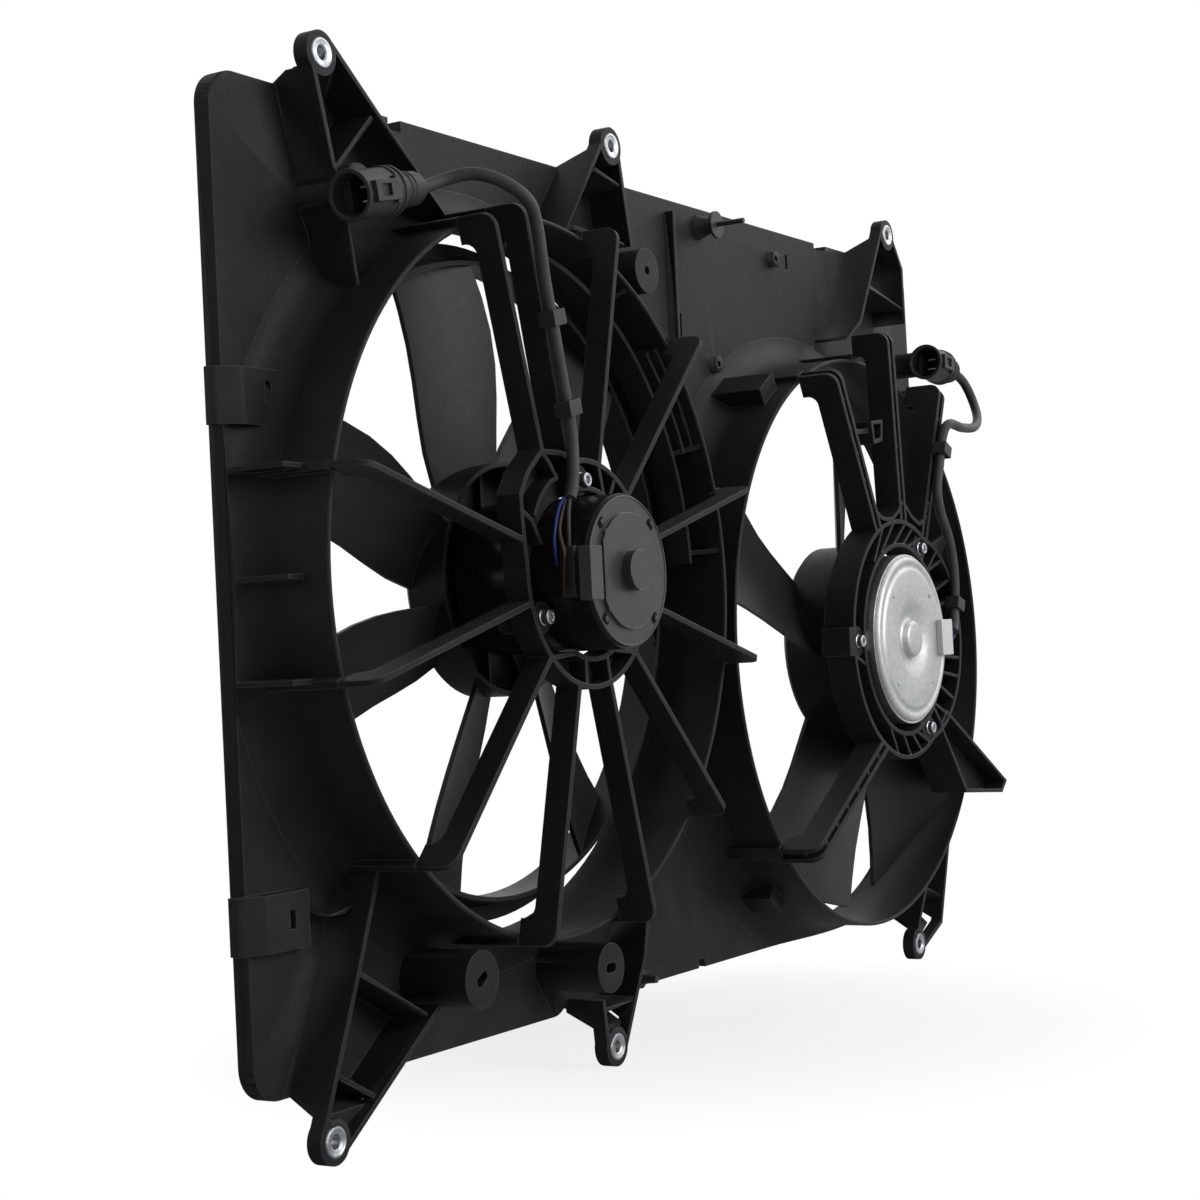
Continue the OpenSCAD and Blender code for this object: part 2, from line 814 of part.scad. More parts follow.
module left_magnets() {
  color(dark)
  upright() at(left_c)
  magnet_pair(left_case_r - case_t, left_case_back + 10, left_case_front - 26);
}

module left_bearings() {
  color(steel)
  upright() at(left_c)
  bearing_pair(left_case_back - 3, left_case_front - 4);
}

module left_motor_screws() {
  color(zinc)
  upright() at(left_c)
  for (a = left_screw_a) translate(polar(left_screw_r, a))
  cap_screw(left_front - 3, left_ear_w - 5, 3.6);
}

left_block = [-35, -14];
module left_lead_block() {
  color(pale)
  upright() at(left_c)
  translate([left_block[0], left_block[1], left_face]) {
    cube([9, 28, 7]);
    translate([1, 4, 7]) cube([7, 18, 2]);
  }
}

module left_fan_nut() {
  color(zinc)
  upright() at(left_c)
  hex_nut(7.5, shaft_r + fit_gap, 0.8, left_fan_back + 2);
}

module left_shaft() {
  color(steel)
  upright() at(left_c)
  bar(shaft_r, 0.5, left_case_front + 3.5);
}

module left_armature() {
  color(steel)
  upright() at(left_c)
  armature_stack(left_arm_r, left_arm_back, left_arm_front, 10);
}

module left_windings() {
  color(copper)
  upright() at(left_c)
  winding_heads(left_arm_r, left_arm_back, left_arm_front, 7);
}

module left_commutator() {
  color(copper)
  upright() at(left_c)
  commutator_ring(left_arm_front + 7.5, left_case_front - 7);
}

module right_motor_case() {
  color(steel)
  upright() at(right_c)
  difference() {
    union() {
      can(right_case_r, right_case_back, right_case_front);
      for (a = right_screw_a) {
        translate(polar(right_screw_r, a)) bar(post_r - 0.5, 78, 80.5);
        rotate([0, 0, a]) translate([right_case_r - 1, 1.5 - post_r, 78])
        cube([right_screw_r - right_case_r + 1, 2 * post_r - 3, 2.5]);
      }
    }
    for (a = right_screw_a) translate(polar(right_screw_r, a))
    bar(screw_r, 76, 82);
  }
}

module right_motor_end_cap() {
  color(steel)
  upright() at(right_c)
  difference() {
    union() {
      bar(right_case_r - 1.5, right_case_front, right_face);
      bar(46, right_face, right_face + 2);
      bar(right_case_r - case_t - fit_gap, right_case_front - 2, right_case_front);
      bar(bearing_r + 2.4, right_case_front - 6, right_case_front);
    }
    tube(30, 15, right_face + 0.6, right_face + 3);
    bar(bearing_r + fit_gap, right_case_front - 7, right_face + 0.4);
    for (a = [45, 135, 225, 315]) rotate([0, 0, a])
    translate([38, -3, right_face + 1]) cube([4, 6, 3]);
  }
}

module right_brush_card() {
  color(pale)
  upright() at(right_c)
  brush_holder(right_case_r - case_t - fit_gap, right_case_front - 8, 11.3);
}

module right_magnets() {
  color(dark)
  upright() at(right_c)
  magnet_pair(right_case_r - case_t, right_case_back + 7, right_case_front - 14);
}

module right_bearings() {
  color(steel)
  upright() at(right_c)
  bearing_pair(right_case_back - 3, right_face + 0.4 - bearing_l);
}

module right_motor_screws() {
  color(zinc)
  upright() at(right_c)
  for (a = right_screw_a) translate(polar(right_screw_r, a))
  cap_screw(80.5, 64, 3.2);
}

module right_lead_block() {
  color(pale)
  upright() at(right_c)
  translate([38, -22, right_face]) {
    difference() {
      cube([18, 30, 6]);
      translate([-1, -1, -1]) cube([9.5, 40, 3.2]);
    }
  }
}

module right_fan_nut() {
  color(zinc)
  upright() at(right_c)
  hex_nut(7.5, shaft_r + fit_gap, right_hub_back - 7, right_hub_back - 1);
}

module right_shaft() {
  color(steel)
  upright() at(right_c)
  bar(shaft_r, right_hub_back - 8, right_case_front);
}

module right_armature() {
  color(steel)
  upright() at(right_c)
  armature_stack(right_arm_r, right_arm_back + 4, right_arm_front - 6, 16);
}

module right_windings() {
  color(copper)
  upright() at(right_c)
  winding_heads(right_arm_r, right_arm_back + 4, right_arm_front - 6, 4);
}

module right_commutator() {
  color(copper)
  upright() at(right_c)
  commutator_ring(right_arm_front - 1.5, right_case_front - 6.5);
}

// ---- fans ----

// A blade is a slice of a thin round shell, bent about an axis that
// leans along the blade, so that it is cambered and loses pitch toward
// its tip. A station holds the radius, the angle and depth of the front
// edge and those of the rear edge.
function mix(a, b, s) = a + (b - a) * s;
function chord_front(st) = [st[0] * sin(st[1]), st[2]];
function chord_rear(st) = [st[0] * sin(st[3]), st[4]];
function bend_centre(st, bend) = let (
  f = chord_front(st),
  b = chord_rear(st),
  h = norm(f - b) / 2,
  n = unit([-(f[1] - b[1]), f[0] - b[0]]),
  s = n[1] > 0 ? 1 : -1,
  m = (f + b) / 2 + n * s * sqrt(bend * bend - h * h))
  [st[0], m[0], m[1]];

module shell_slice(st_in, st_out, bend, t) {
  c0 = bend_centre(st_in, bend);
  c1 = bend_centre(st_out, bend);
  d = unit(c1 - c0);
  translate(c0)
  rotate([0, acos(d[2]), atan2(d[1], d[0])])
  translate([0, 0, -60])
  difference() {
    cylinder(r = bend + t / 2, h = norm(c1 - c0) + 120);
    translate([0, 0, -1]) cylinder(r = bend - t / 2, h = norm(c1 - c0) + 122);
  }
}

// Plan of one blade: rounded ends follow the hub and the tip circle,
// bow_f and bow_r bend the front and rear edges
module blade_plan(st_in, st_out, bow_f, bow_r) {
  n = 6;
  polygon(concat(
    [for (i = [0:n]) let (s = i / n) polar(mix(st_in[0], st_out[0], s),
      mix(st_in[1], st_out[1], s) + bow_f * sin(180 * s))],
    [for (i = [1:n - 1]) polar(st_out[0], mix(st_out[1], st_out[3], i / n))],
    [for (i = [n:-1:0]) let (s = i / n) polar(mix(st_in[0], st_out[0], s),
      mix(st_in[3], st_out[3], s) + bow_r * sin(180 * s))],
    [for (i = [1:n - 1]) polar(st_in[0], mix(st_in[3], st_in[1], i / n))]));
}

module blade(st_in, st_out, bend, t, bow_f, bow_r, w0, w1) {
  intersection() {
    shell_slice(st_in, st_out, bend, t);
    translate([0, 0, w0]) linear_extrude(w1 - w0)
    blade_plan(st_in, st_out, bow_f, bow_r);
  }
}

left_blade_a = [104.5, 161.5, 203, 252.5, 305, 358, 411];

module left_fan() {
  b = left_fan_back;
  r = left_hub_r;
  color(black)
  upright() at(left_c)
  difference() {
    union() {
      for (i = [0:left_blades - 1]) rotate([0, 0, left_blade_a[i]])
      blade([r - 1.2, -11.5, b + 24, 22.5, b + 6], [band_r + 1.2, -10.5, b + 18, 7.5, b + 4],
        150, blade_t, -3, -5, b, left_hub_front);
      // Ring at the blade tips with its outward rear lip
      rotate_extrude()
      polygon([[band_r, b], [band_lip_r, b], [band_lip_r, b + 2],
        [band_r + band_t + 3, b + 2.4], [band_r + band_t, b + 5],
        [band_r + band_t, 23], [band_r, 23]]);
      // Hub cup, open to the front
      rotate_extrude()
      polygon([[0, b + 2], [r - 3, b + 2], [r, b + 5], [r, left_hub_front],
        [r - 2.4, left_hub_front], [r - 2.4, b + 6], [0, b + 6]]);
      bar(13, b + 2, b + 11);
      for (i = [0:11]) rotate([0, 0, i * 30])
      translate([12, -1, b + 5]) cube([r - 14, 2, 6]);
    }
    bar(shaft_r + fit_gap, -1, 40);
  }
}

right_blade_a = [80, 154, 240, 303, 369];

module right_fan() {
  b = right_hub_back;
  r = right_hub_r;
  color(black)
  upright() at(right_c)
  difference() {
    union() {
      for (a = right_blade_a) rotate([0, 0, a])
      blade([r - 1.2, 34, b + 26, -12, b + 5], [tip_r, 17, b + 26, -16, b + 2],
        200, blade_t, -4, 4, b - 4, right_hub_front);
      rotate_extrude()
      polygon([[0, b], [r - 3, b], [r, b + 3], [r, right_hub_front],
        [r - 2.4, right_hub_front], [r - 2.4, b + 4], [0, b + 4]]);
      bar(13, b - 1, b + 6);
      for (i = [0:11]) rotate([0, 0, i * 30 + 8])
      translate([12, -1, b + 3]) cube([r - 14, 2, 5]);
    }
    bar(shaft_r + fit_gap, -1, 60);
  }
}

// ---- leads and connectors ----

left_conn_p = [-346, 182, 48];
left_conn_a = 15;
right_conn_p = [306, 158, 58];
right_conn_a = -4;

// Connector housing: open oval mouth, body, rear seal; along +x
module connector_body(l1, l2) {
  difference() {
    union() {
      translate([0, -12, -9]) linear_extrude(18) soft_rect(0, l1, 0, 24, 3);
      translate([l1 - 1, -9.5, -7.5]) cube([l2, 19, 15]);
      translate([4, -8, 8]) cube([l1 - 10, 16, 3]);
      for (i = [0:2]) translate([l1 + l2 - 8 + i * 3, 0, 0])
      rotate([0, 90, 0]) cylinder(r = 8 - i * 0.4, h = 1.6);
      translate([l1 + l2 - 3, 0, 0]) rotate([0, 90, 0]) cylinder(r = 6.2, h = 7);
    }
    translate([-1, -9.5, -6.5]) cube([l1 - 8, 19, 13]);
    translate([8, -4, 9.2]) cube([8, 8, 5]);
    translate([l1 + l2 - 8, 0, 0]) rotate([0, 90, 0]) cylinder(r = lead_r + 0.3, h = 20);
  }
  // Terminal blades in the mouth
  for (y = [-4, 4]) translate([6, y - 0.4, -3]) cube([l1 - 10, 0.8, 6]);
}

module left_connector() {
  color(dark)
  upright()
  translate(left_conn_p) rotate([0, 0, left_conn_a]) connector_body(38, 20);
}

module right_connector() {
  color(dark)
  upright()
  translate(right_conn_p) rotate([0, 0, right_conn_a]) connector_body(36, 12);
}

left_route = [[-291.9, 196.5, 48], [-281, 199.4, 48], [-270, 203.5, 53], [-262, 204, 64],
  [-255, 198, 77], [-246, 188, 85], [-239, 177, 85.5], [-231.5, 148, 84.2],
  [-226, 125, 84.2], [-219.5, 98, 84.2], [-213, 71, 84.4], [-215, 56, 88], [-223, 43, 97],
  [-228, 31, 105.5], [-226.5, 23, 107], [-225, 15.3, 106.8]];
right_route = [[350, 154.9, 58], [360, 154.2, 58], [371, 146, 62], [372, 132, 68],
  [360, 118, 76], [335, 109, 83], [300, 106, 88], [275, 107, 89], [264.4, 98.9, 88.2],
  [255, 76.8, 88.2], [248.5, 60, 88.4], [252, 44, 88.6], [262, 30, 88.6], [269, 13, 88.4],
  [271, -4, 88.2], [268.6, -18.5, 88.2], [263, -31, 89.5], [256.5, -37.5, 91.5]];

module left_lead_sleeve() {
  color(black)
  upright() cable(left_route, 4, lead_r, 8);
}

module right_lead_sleeve() {
  color(black)
  upright() cable(right_route, 4, lead_r, 8);
}

module right_lead_wires() {
  color("royalblue")
  upright() for (d = [-1, 1])
  cable([[255.7 + 1.5 * d, -38.3 - 1.5 * d, 91.5], [253 + 0.8 * d, -40 - 1.8 * d, 91.5],
    [250, -42 - 2 * d, 91.5], [247.7, -42.5 - 2.2 * d, 91.5]], 3, 1.4, 8);
}

// Saddle clip that holds a lead down on an edge
module saddle(p, a, w_edge) {
  translate([p[0], p[1], 0]) rotate([0, 0, a])
  difference() {
    translate([-4, -lead_r - 2, w_edge]) cube([8, 2 * lead_r + 4, 2 * lead_r + 2.4]);
    translate([-5, -lead_r - 0.3, w_edge + 0.4]) cube([10, 2 * lead_r + 0.6, 2 * lead_r + 0.6]);
  }
}

module left_lead_clips() {
  color(dark)
  upright() {
    saddle([-227.2, 130], 103.5, left_front);
    saddle([-216.4, 85], 103.5, left_front);
  }
}

module right_lead_clips() {
  color(dark)
  upright() {
    saddle([259.6, 87.8], 67, right_front);
    saddle([268.6, -18.5], 70, right_front);
  }
}

shroud_panel();
left_throat();
right_throat();
left_motor_carrier();
left_struts();
right_motor_carrier();
right_struts();
mount_bushings();
harness_studs();
left_motor_case();
left_motor_end_plate();
left_brush_card();
left_magnets();
left_bearings();
left_motor_screws();
left_lead_block();
left_lead_sleeve();
left_connector();
left_lead_clips();
left_fan();
left_shaft();
left_armature();
left_windings();
left_commutator();
left_fan_nut();
right_motor_case();
right_motor_end_cap();
right_brush_card();
right_magnets();
right_bearings();
right_motor_screws();
right_lead_block();
right_lead_sleeve();
right_lead_wires();
right_connector();
right_lead_clips();
right_fan();
right_shaft();
right_armature();
right_windings();
right_commutator();
right_fan_nut();
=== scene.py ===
# %% [markdown]
# # Twin radiator cooling fan
# A moulded black shroud carries two electric fans. The solids come from the
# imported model, and this script dresses them: it sets the camera and the
# light, builds the finishes from shader nodes, draws the moulded carriers,
# throats and clips finer, and adds the small pieces that the solids lack.

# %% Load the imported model
import json
import math

import bpy
import bmesh
from mathutils import Matrix, Vector


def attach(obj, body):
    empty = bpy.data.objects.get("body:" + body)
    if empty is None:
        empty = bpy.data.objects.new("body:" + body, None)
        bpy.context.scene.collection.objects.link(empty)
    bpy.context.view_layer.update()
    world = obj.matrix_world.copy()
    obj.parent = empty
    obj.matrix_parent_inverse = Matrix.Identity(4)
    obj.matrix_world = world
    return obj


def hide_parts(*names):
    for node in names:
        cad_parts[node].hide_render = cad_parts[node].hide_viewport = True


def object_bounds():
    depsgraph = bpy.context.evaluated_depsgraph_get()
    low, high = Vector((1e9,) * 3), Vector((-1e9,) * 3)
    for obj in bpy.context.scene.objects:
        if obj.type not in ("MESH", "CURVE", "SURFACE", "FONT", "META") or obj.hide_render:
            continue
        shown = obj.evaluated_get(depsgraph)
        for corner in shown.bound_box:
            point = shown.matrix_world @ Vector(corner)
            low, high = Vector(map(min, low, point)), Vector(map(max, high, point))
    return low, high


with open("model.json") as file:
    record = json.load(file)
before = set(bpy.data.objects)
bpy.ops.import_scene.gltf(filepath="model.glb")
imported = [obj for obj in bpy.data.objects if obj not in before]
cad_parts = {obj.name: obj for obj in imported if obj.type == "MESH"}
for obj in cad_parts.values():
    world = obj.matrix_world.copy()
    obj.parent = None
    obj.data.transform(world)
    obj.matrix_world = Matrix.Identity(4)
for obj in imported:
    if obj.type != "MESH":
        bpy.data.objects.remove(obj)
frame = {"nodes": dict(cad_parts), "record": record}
cad_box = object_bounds()
nodes = frame["nodes"]
MM = 0.001
print("nodes", len(nodes), "box", cad_box)


# %% [markdown]
# ## The layout frame
# The shroud is described flat: u to the right, v up and w from the radiator
# seat toward the motors. One helper turns such a place, in millimetres, into
# a point of the model, whose Y axis points at the radiator. Two more put a
# new object in the scene and read a piece back with its modifiers applied.

# %% Places in the layout
LEFT = (-194.5, 1.0)
RIGHT = (191.5, -41.0)
PLATE = 9.0
LIP = 58.0


def at(u, v, w):
    return Vector((u * MM, -w * MM, v * MM))


def polar(centre, r, deg):
    a = math.radians(deg)
    return centre[0] + r * math.cos(a), centre[1] + r * math.sin(a)


def stand(name, data):
    item = bpy.data.objects.new(name, data)
    bpy.context.collection.objects.link(item)
    return item


def baked(piece):
    graph = bpy.context.evaluated_depsgraph_get()
    return bpy.data.meshes.new_from_object(piece.evaluated_get(graph))


# %% [markdown]
# ## Camera
# The photograph looks at the fan from its lower left, almost level, with a
# moderately long lens. The place and the turn were found by fitting the two
# round throats, so they are plain numbers here.

# %% Camera
camera_data = bpy.data.cameras.new("camera")
camera_data.sensor_width = 36.0
camera_data.lens = 67.08
camera_data.clip_start = 0.01
camera_data.clip_end = 50
camera = stand("camera", camera_data)
turn, tilt, lean = 1.02093538, 0.0244663216, -0.0500093835
forward = Vector((math.cos(tilt) * math.sin(turn), math.cos(tilt) * math.cos(turn), math.sin(tilt)))
side = Vector((math.cos(turn), -math.sin(turn), 0))
up = side.cross(forward)
right = side * math.cos(lean) + up * math.sin(lean)
above = up * math.cos(lean) - side * math.sin(lean)
camera.matrix_world = Matrix((
    (right.x, above.x, -forward.x, -1.17965),
    (right.y, above.y, -forward.y, -0.68855),
    (right.z, above.z, -forward.z, -0.04133),
    (0, 0, 0, 1)))
bpy.context.scene.camera = camera
bpy.context.scene.view_settings.view_transform = "Standard"
print("camera stands", round(camera.location.length, 3), "m from the panel centre")


# %% [markdown]
# ## Shader helpers
# A small builder keeps node trees readable: `add` makes a node, sets its
# plain values and links its inputs in one line. The rest are short names
# for the nodes that come up again and again.

# %% Shader helpers
def add(tree, kind, links=None, **values):
    node = tree.nodes.new(kind)
    for key, value in values.items():
        setattr(node, key, value)
    for socket, source in (links or {}).items():
        if isinstance(source, bpy.types.NodeSocket):
            tree.links.new(source, node.inputs[socket])
        else:
            node.inputs[socket].default_value = source
    return node


def new_group(name, kind, inputs, outputs):
    tree = bpy.data.node_groups.new(name, kind)
    for label, socket_kind, value in inputs:
        socket = tree.interface.new_socket(name=label, in_out="INPUT", socket_type=socket_kind)
        if value is not None:
            socket.default_value = value
    for label, socket_kind in outputs:
        tree.interface.new_socket(name=label, in_out="OUTPUT", socket_type=socket_kind)
    return tree, add(tree, "NodeGroupInput").outputs, add(tree, "NodeGroupOutput").inputs


def noise(tree, vector, scale, detail, roughness=0.5, distortion=0.0):
    return add(tree, "ShaderNodeTexNoise", {
        "Vector": vector, "Scale": scale, "Detail": detail, "Roughness": roughness,
        "Distortion": distortion}).outputs["Fac"]


def calc(tree, operation, *terms, **settings):
    node = add(tree, "ShaderNodeMath", dict(enumerate(terms)), operation=operation, **settings)
    return node.outputs[0]


def span(tree, value, low, high):
    limits = {"Value": value, "From Min": low, "From Max": high}
    return add(tree, "ShaderNodeMapRange", limits).outputs["Result"]


def blend(tree, factor, a, b):
    return add(tree, "ShaderNodeMix", {"Factor": factor, 6: a, 7: b}, data_type="RGBA").outputs[2]


def rounded(tree, radius):
    return add(tree, "ShaderNodeBevel", {"Radius": radius}, samples=4).outputs["Normal"]


def relief(tree, strength, distance, height, normal):
    values = {"Strength": strength, "Distance": distance, "Height": height, "Normal": normal}
    return add(tree, "ShaderNodeBump", values).outputs["Normal"]


def deliver(tree, sockets, *results):
    for socket, result in zip(sockets, results):
        tree.links.new(result, socket)


# %% [markdown]
# ## Shared surface effects
# Moulded plastic is never one flat colour. Its corners are slightly round and catch light, and the
# Edge colour paints them lighter in patches as a painted highlight; the tool leaves a fine grain
# and the melt leaves faint flow clouds. One group gives all of that to every plastic here, each
# with its own amounts.

# %% Moulded plastic group
FLOAT, COLOR, VECTOR = "NodeSocketFloat", "NodeSocketColor", "NodeSocketVector"
SURFACE = [("Color", COLOR), ("Roughness", FLOAT), ("Normal", VECTOR)]
moulded, g_in, g_out = new_group("moulded_surface", "ShaderNodeTree", [
    ("Dark", COLOR, (0.01, 0.01, 0.011, 1)),
    ("Pale", COLOR, (0.05, 0.05, 0.052, 1)),
    ("Edge", COLOR, (0.12, 0.12, 0.125, 1)),
    ("Edge Amount", FLOAT, 0.6),
    ("Grain Scale", FLOAT, 2600.0),
    ("Grain Depth", FLOAT, 0.25),
    ("Cloud Scale", FLOAT, 22.0),
    ("Rough", FLOAT, 0.42),
    ("Rough Spread", FLOAT, 0.12),
    ("Edge Radius", FLOAT, 0.0008),
], SURFACE)
place = add(moulded, "ShaderNodeTexCoord").outputs["Object"]
cloud = noise(moulded, place, g_in["Cloud Scale"], 6.0, 0.62, 0.6)
grain = noise(moulded, place, g_in["Grain Scale"], 2.0, 0.6)
patch_noise = noise(moulded, place, 310.0, 5.0, 0.7)
round_edge = rounded(moulded, g_in["Edge Radius"])
flat = add(moulded, "ShaderNodeNewGeometry").outputs["Normal"]
facing = add(moulded, "ShaderNodeVectorMath", {0: round_edge, 1: flat}, operation="DOT_PRODUCT")
# Painted highlight: the rounded edges take the lighter Edge colour, broken into patches by noise.
painted_edge_light = calc(moulded, "MULTIPLY", span(moulded, facing.outputs["Value"], 0.995, 0.80), patch_noise)
painted_edge_light = calc(moulded, "MULTIPLY", painted_edge_light, g_in["Edge Amount"], use_clamp=True)
melt = blend(moulded, span(moulded, cloud, 0.3, 0.75), g_in["Dark"], g_in["Pale"])
uneven = calc(moulded, "SUBTRACT", patch_noise, 0.5)
deliver(moulded, g_out, blend(moulded, painted_edge_light, melt, g_in["Edge"]),
        calc(moulded, "MULTIPLY_ADD", uneven, g_in["Rough Spread"], g_in["Rough"]),
        relief(moulded, g_in["Grain Depth"], 0.00008, grain, round_edge))
print("moulded surface", len(moulded.nodes), "nodes")


# %% [markdown]
# ## Metals
# The bushings and screws are zinc plated, the right motor is plated sheet
# and the left one is painted. Plating shows as fine scratches, pale spangle
# and a slight change of warmth, so the metal group mixes those.

# %% Metal group
metal, m_in, m_out = new_group("plated_surface", "ShaderNodeTree", [
    ("Base", COLOR, (0.6, 0.6, 0.6, 1)),
    ("Tint", COLOR, (0.7, 0.66, 0.55, 1)),
    ("Scratch Scale", FLOAT, 900.0),
    ("Scratch Depth", FLOAT, 0.3),
    ("Rough", FLOAT, 0.28),
    ("Rough Spread", FLOAT, 0.2),
    ("Edge Radius", FLOAT, 0.0004),
], SURFACE)
place = add(metal, "ShaderNodeTexCoord").outputs["Object"]
spangle = add(metal, "ShaderNodeTexVoronoi", {"Vector": place, "Scale": 260.0}).outputs["Distance"]
mottle = noise(metal, place, 75.0, 6.0, 0.7)
stretch = add(metal, "ShaderNodeMapping", {"Vector": place, "Scale": (1.0, 0.08, 1.0)}).outputs[0]
scratch = noise(metal, stretch, m_in["Scratch Scale"], 3.0)
warmth = span(metal, calc(metal, "ADD", mottle, spangle), 0.6, 1.35)
uneven = calc(metal, "SUBTRACT", mottle, 0.5)
deliver(metal, m_out, blend(metal, warmth, m_in["Base"], m_in["Tint"]),
        calc(metal, "MULTIPLY_ADD", uneven, m_in["Rough Spread"], m_in["Rough"]),
        relief(metal, m_in["Scratch Depth"], 0.00005, scratch, rounded(metal, m_in["Edge Radius"])))
print("plated surface", len(metal.nodes), "nodes")


# %% [markdown]
# ## Finishes
# Each finish is one of the two groups with its own amounts, and the solids
# take theirs by the name of their slot. Two pieces differ from their slot:
# the painted plate of the left motor and its grey lead block.

# %% Finish helpers
LEVELS = {"metallic": "Metallic", "specular": "Specular IOR Level", "coat": "Coat Weight",
          "coat_rough": "Coat Roughness"}


def new_finish(name, effect, amounts, levels):
    material = bpy.data.materials.new(name)
    material.use_nodes = True
    tree = material.node_tree
    shader = tree.nodes["Principled BSDF"]
    group = add(tree, "ShaderNodeGroup", amounts, node_tree=effect)
    deliver(tree, [shader.inputs[key] for key in ("Base Color", "Roughness", "Normal")],
            *group.outputs)
    for key, value in levels.items():
        shader.inputs[LEVELS[key]].default_value = value
    return material


def grey(value, tint=0.0):
    return value, value, value * (1 + tint), 1


def plastic(name, dark, pale, edge, rough, amounts=None, **levels):
    shades = {"Dark": dark, "Pale": pale, "Edge": edge, "Rough": rough}
    return new_finish(name, moulded, {**shades, **(amounts or {})}, levels)


def plated(name, base, tint, rough, amounts=None, metallic=1.0, **levels):
    shades = {"Base": base, "Tint": tint, "Rough": rough}
    return new_finish(name, metal, {**shades, **(amounts or {})}, {"metallic": metallic, **levels})


# %% Plastics
SATIN, DULL, SMOOTH = 0.1, 0.15, 0.16
# The third colour of each plastic is a painted highlight that the group lays on its rounded edges.
shroud_black = plastic(
    "shroud_black", grey(0.012, 0.03), grey(0.022, 0.03), grey(0.17, 0.02), 0.52,
    {"Rough Spread": 0.24, "Edge Amount": 0.95, "Edge Radius": 0.0011}, specular=SATIN)
fan_black = plastic("fan_black", grey(0.008, 0.03), grey(0.016, 0.03), grey(0.1, 0.02), 0.42,
                    {"Rough Spread": 0.2, "Cloud Scale": 9.0}, specular=SMOOTH)
clip_black = plastic("clip_black", grey(0.03), grey(0.045), grey(0.15), 0.45,
                     {"Edge Radius": 0.0006}, specular=SMOOTH)
lead_grey = plastic("lead_grey", grey(0.06), grey(0.08), grey(0.12), 0.5, specular=SMOOTH)
pale_plastic = plastic("pale_plastic", grey(0.5, -0.02), grey(0.62, -0.02), grey(0.74), 0.35,
                       {"Grain Scale": 1500.0}, specular=0.4)
card_plastic = plastic("card_plastic", (0.2, 0.13, 0.06, 1), (0.3, 0.2, 0.1, 1),
                       (0.4, 0.3, 0.18, 1), 0.6)
sleeve_black = plastic("sleeve_black", grey(0.035), grey(0.055), grey(0.08), 0.5,
                       {"Cloud Scale": 60.0}, specular=SMOOTH)
wire_blue = plastic("wire_blue", (0.003, 0.012, 0.08, 1), (0.005, 0.02, 0.13, 1),
                    (0.02, 0.05, 0.2, 1), 0.4, specular=0.2)
wire_brown = plastic("wire_brown", (0.016, 0.009, 0.005, 1), (0.028, 0.017, 0.01, 1),
                     (0.05, 0.035, 0.02, 1), 0.4, specular=0.2)
# Painted shade: a near-black finish for the pads that stand in for the shaded depth of the cover's
# slots.
painted_slot_shade = plastic("painted_slot_shade", grey(0.004), grey(0.008), grey(0.02), 0.7, specular=0.05)
# The pale Edge colour here is a painted highlight for the bright lines along the cover's rims and
# D.
painted_plate = plastic("painted_plate", grey(0.03), grey(0.04), grey(0.3), 0.46,
                        {"Edge Amount": 1.0, "Edge Radius": 0.0007}, specular=DULL, coat=0.3,
                        coat_rough=0.25)

# %% Metals, and the finishes of the solids
zinc = plated("zinc", (0.34, 0.35, 0.36, 1), (0.5, 0.51, 0.52, 1), 0.33)
ground_steel = plated("ground_steel", (0.5, 0.5, 0.52, 1), (0.64, 0.64, 0.65, 1), 0.22)
bright_case = plated("bright_case", grey(0.55), grey(0.66), 0.34)
bright_cap = plated("bright_cap", grey(0.42), grey(0.5), 0.48,
                    {"Scratch Depth": 0.15, "Edge Radius": 0.0003}, metallic=0.7)
black_case = plated("black_case", grey(0.008), grey(0.014), 0.3, metallic=0.0, specular=DULL,
                    coat=0.15, coat_rough=0.12)
lamination = plated("lamination", (0.2, 0.19, 0.18, 1), (0.34, 0.32, 0.3, 1), 0.45)
copper = plated("copper", (0.62, 0.24, 0.1, 1), (0.75, 0.34, 0.16, 1), 0.32)
ferrite = plated("ferrite", grey(0.05), grey(0.08), 0.7, metallic=0.0, specular=DULL)

FINISH = {"shroud_plastic": shroud_black, "fan_plastic": fan_black, "zinc_steel": zinc,
          "clip_plastic": clip_black, "ferrite": ferrite, "bearing_steel": ground_steel,
          "pale_plastic": pale_plastic, "sleeve": sleeve_black, "lamination_steel": lamination,
          "copper": copper, "card_plastic": card_plastic, "black_case": black_case,
          "bright_case": bright_case, "blue_wire": wire_blue}
for part in frame["record"]["subparts"]:
    skins = nodes[part["node"]].data.materials
    skins.clear()
    skins.append(FINISH[part["material_slot"]])
nodes["left_motor_end_plate"].data.materials[0] = painted_plate
nodes["left_lead_block"].data.materials[0] = lead_grey
print("finishes", len(FINISH))


# %% [markdown]
# ## Round pieces
# Bushings, screws, the motor cover, the plugs and the throats are round.
# Each one is described by half of its outline, a row of radius and
# height, and one helper spins that row about the axis into a closed mesh.

# %% Lathe helper
def outward(mesh):
    bmesh.ops.recalc_face_normals(mesh, faces=mesh.faces[:])
    return mesh


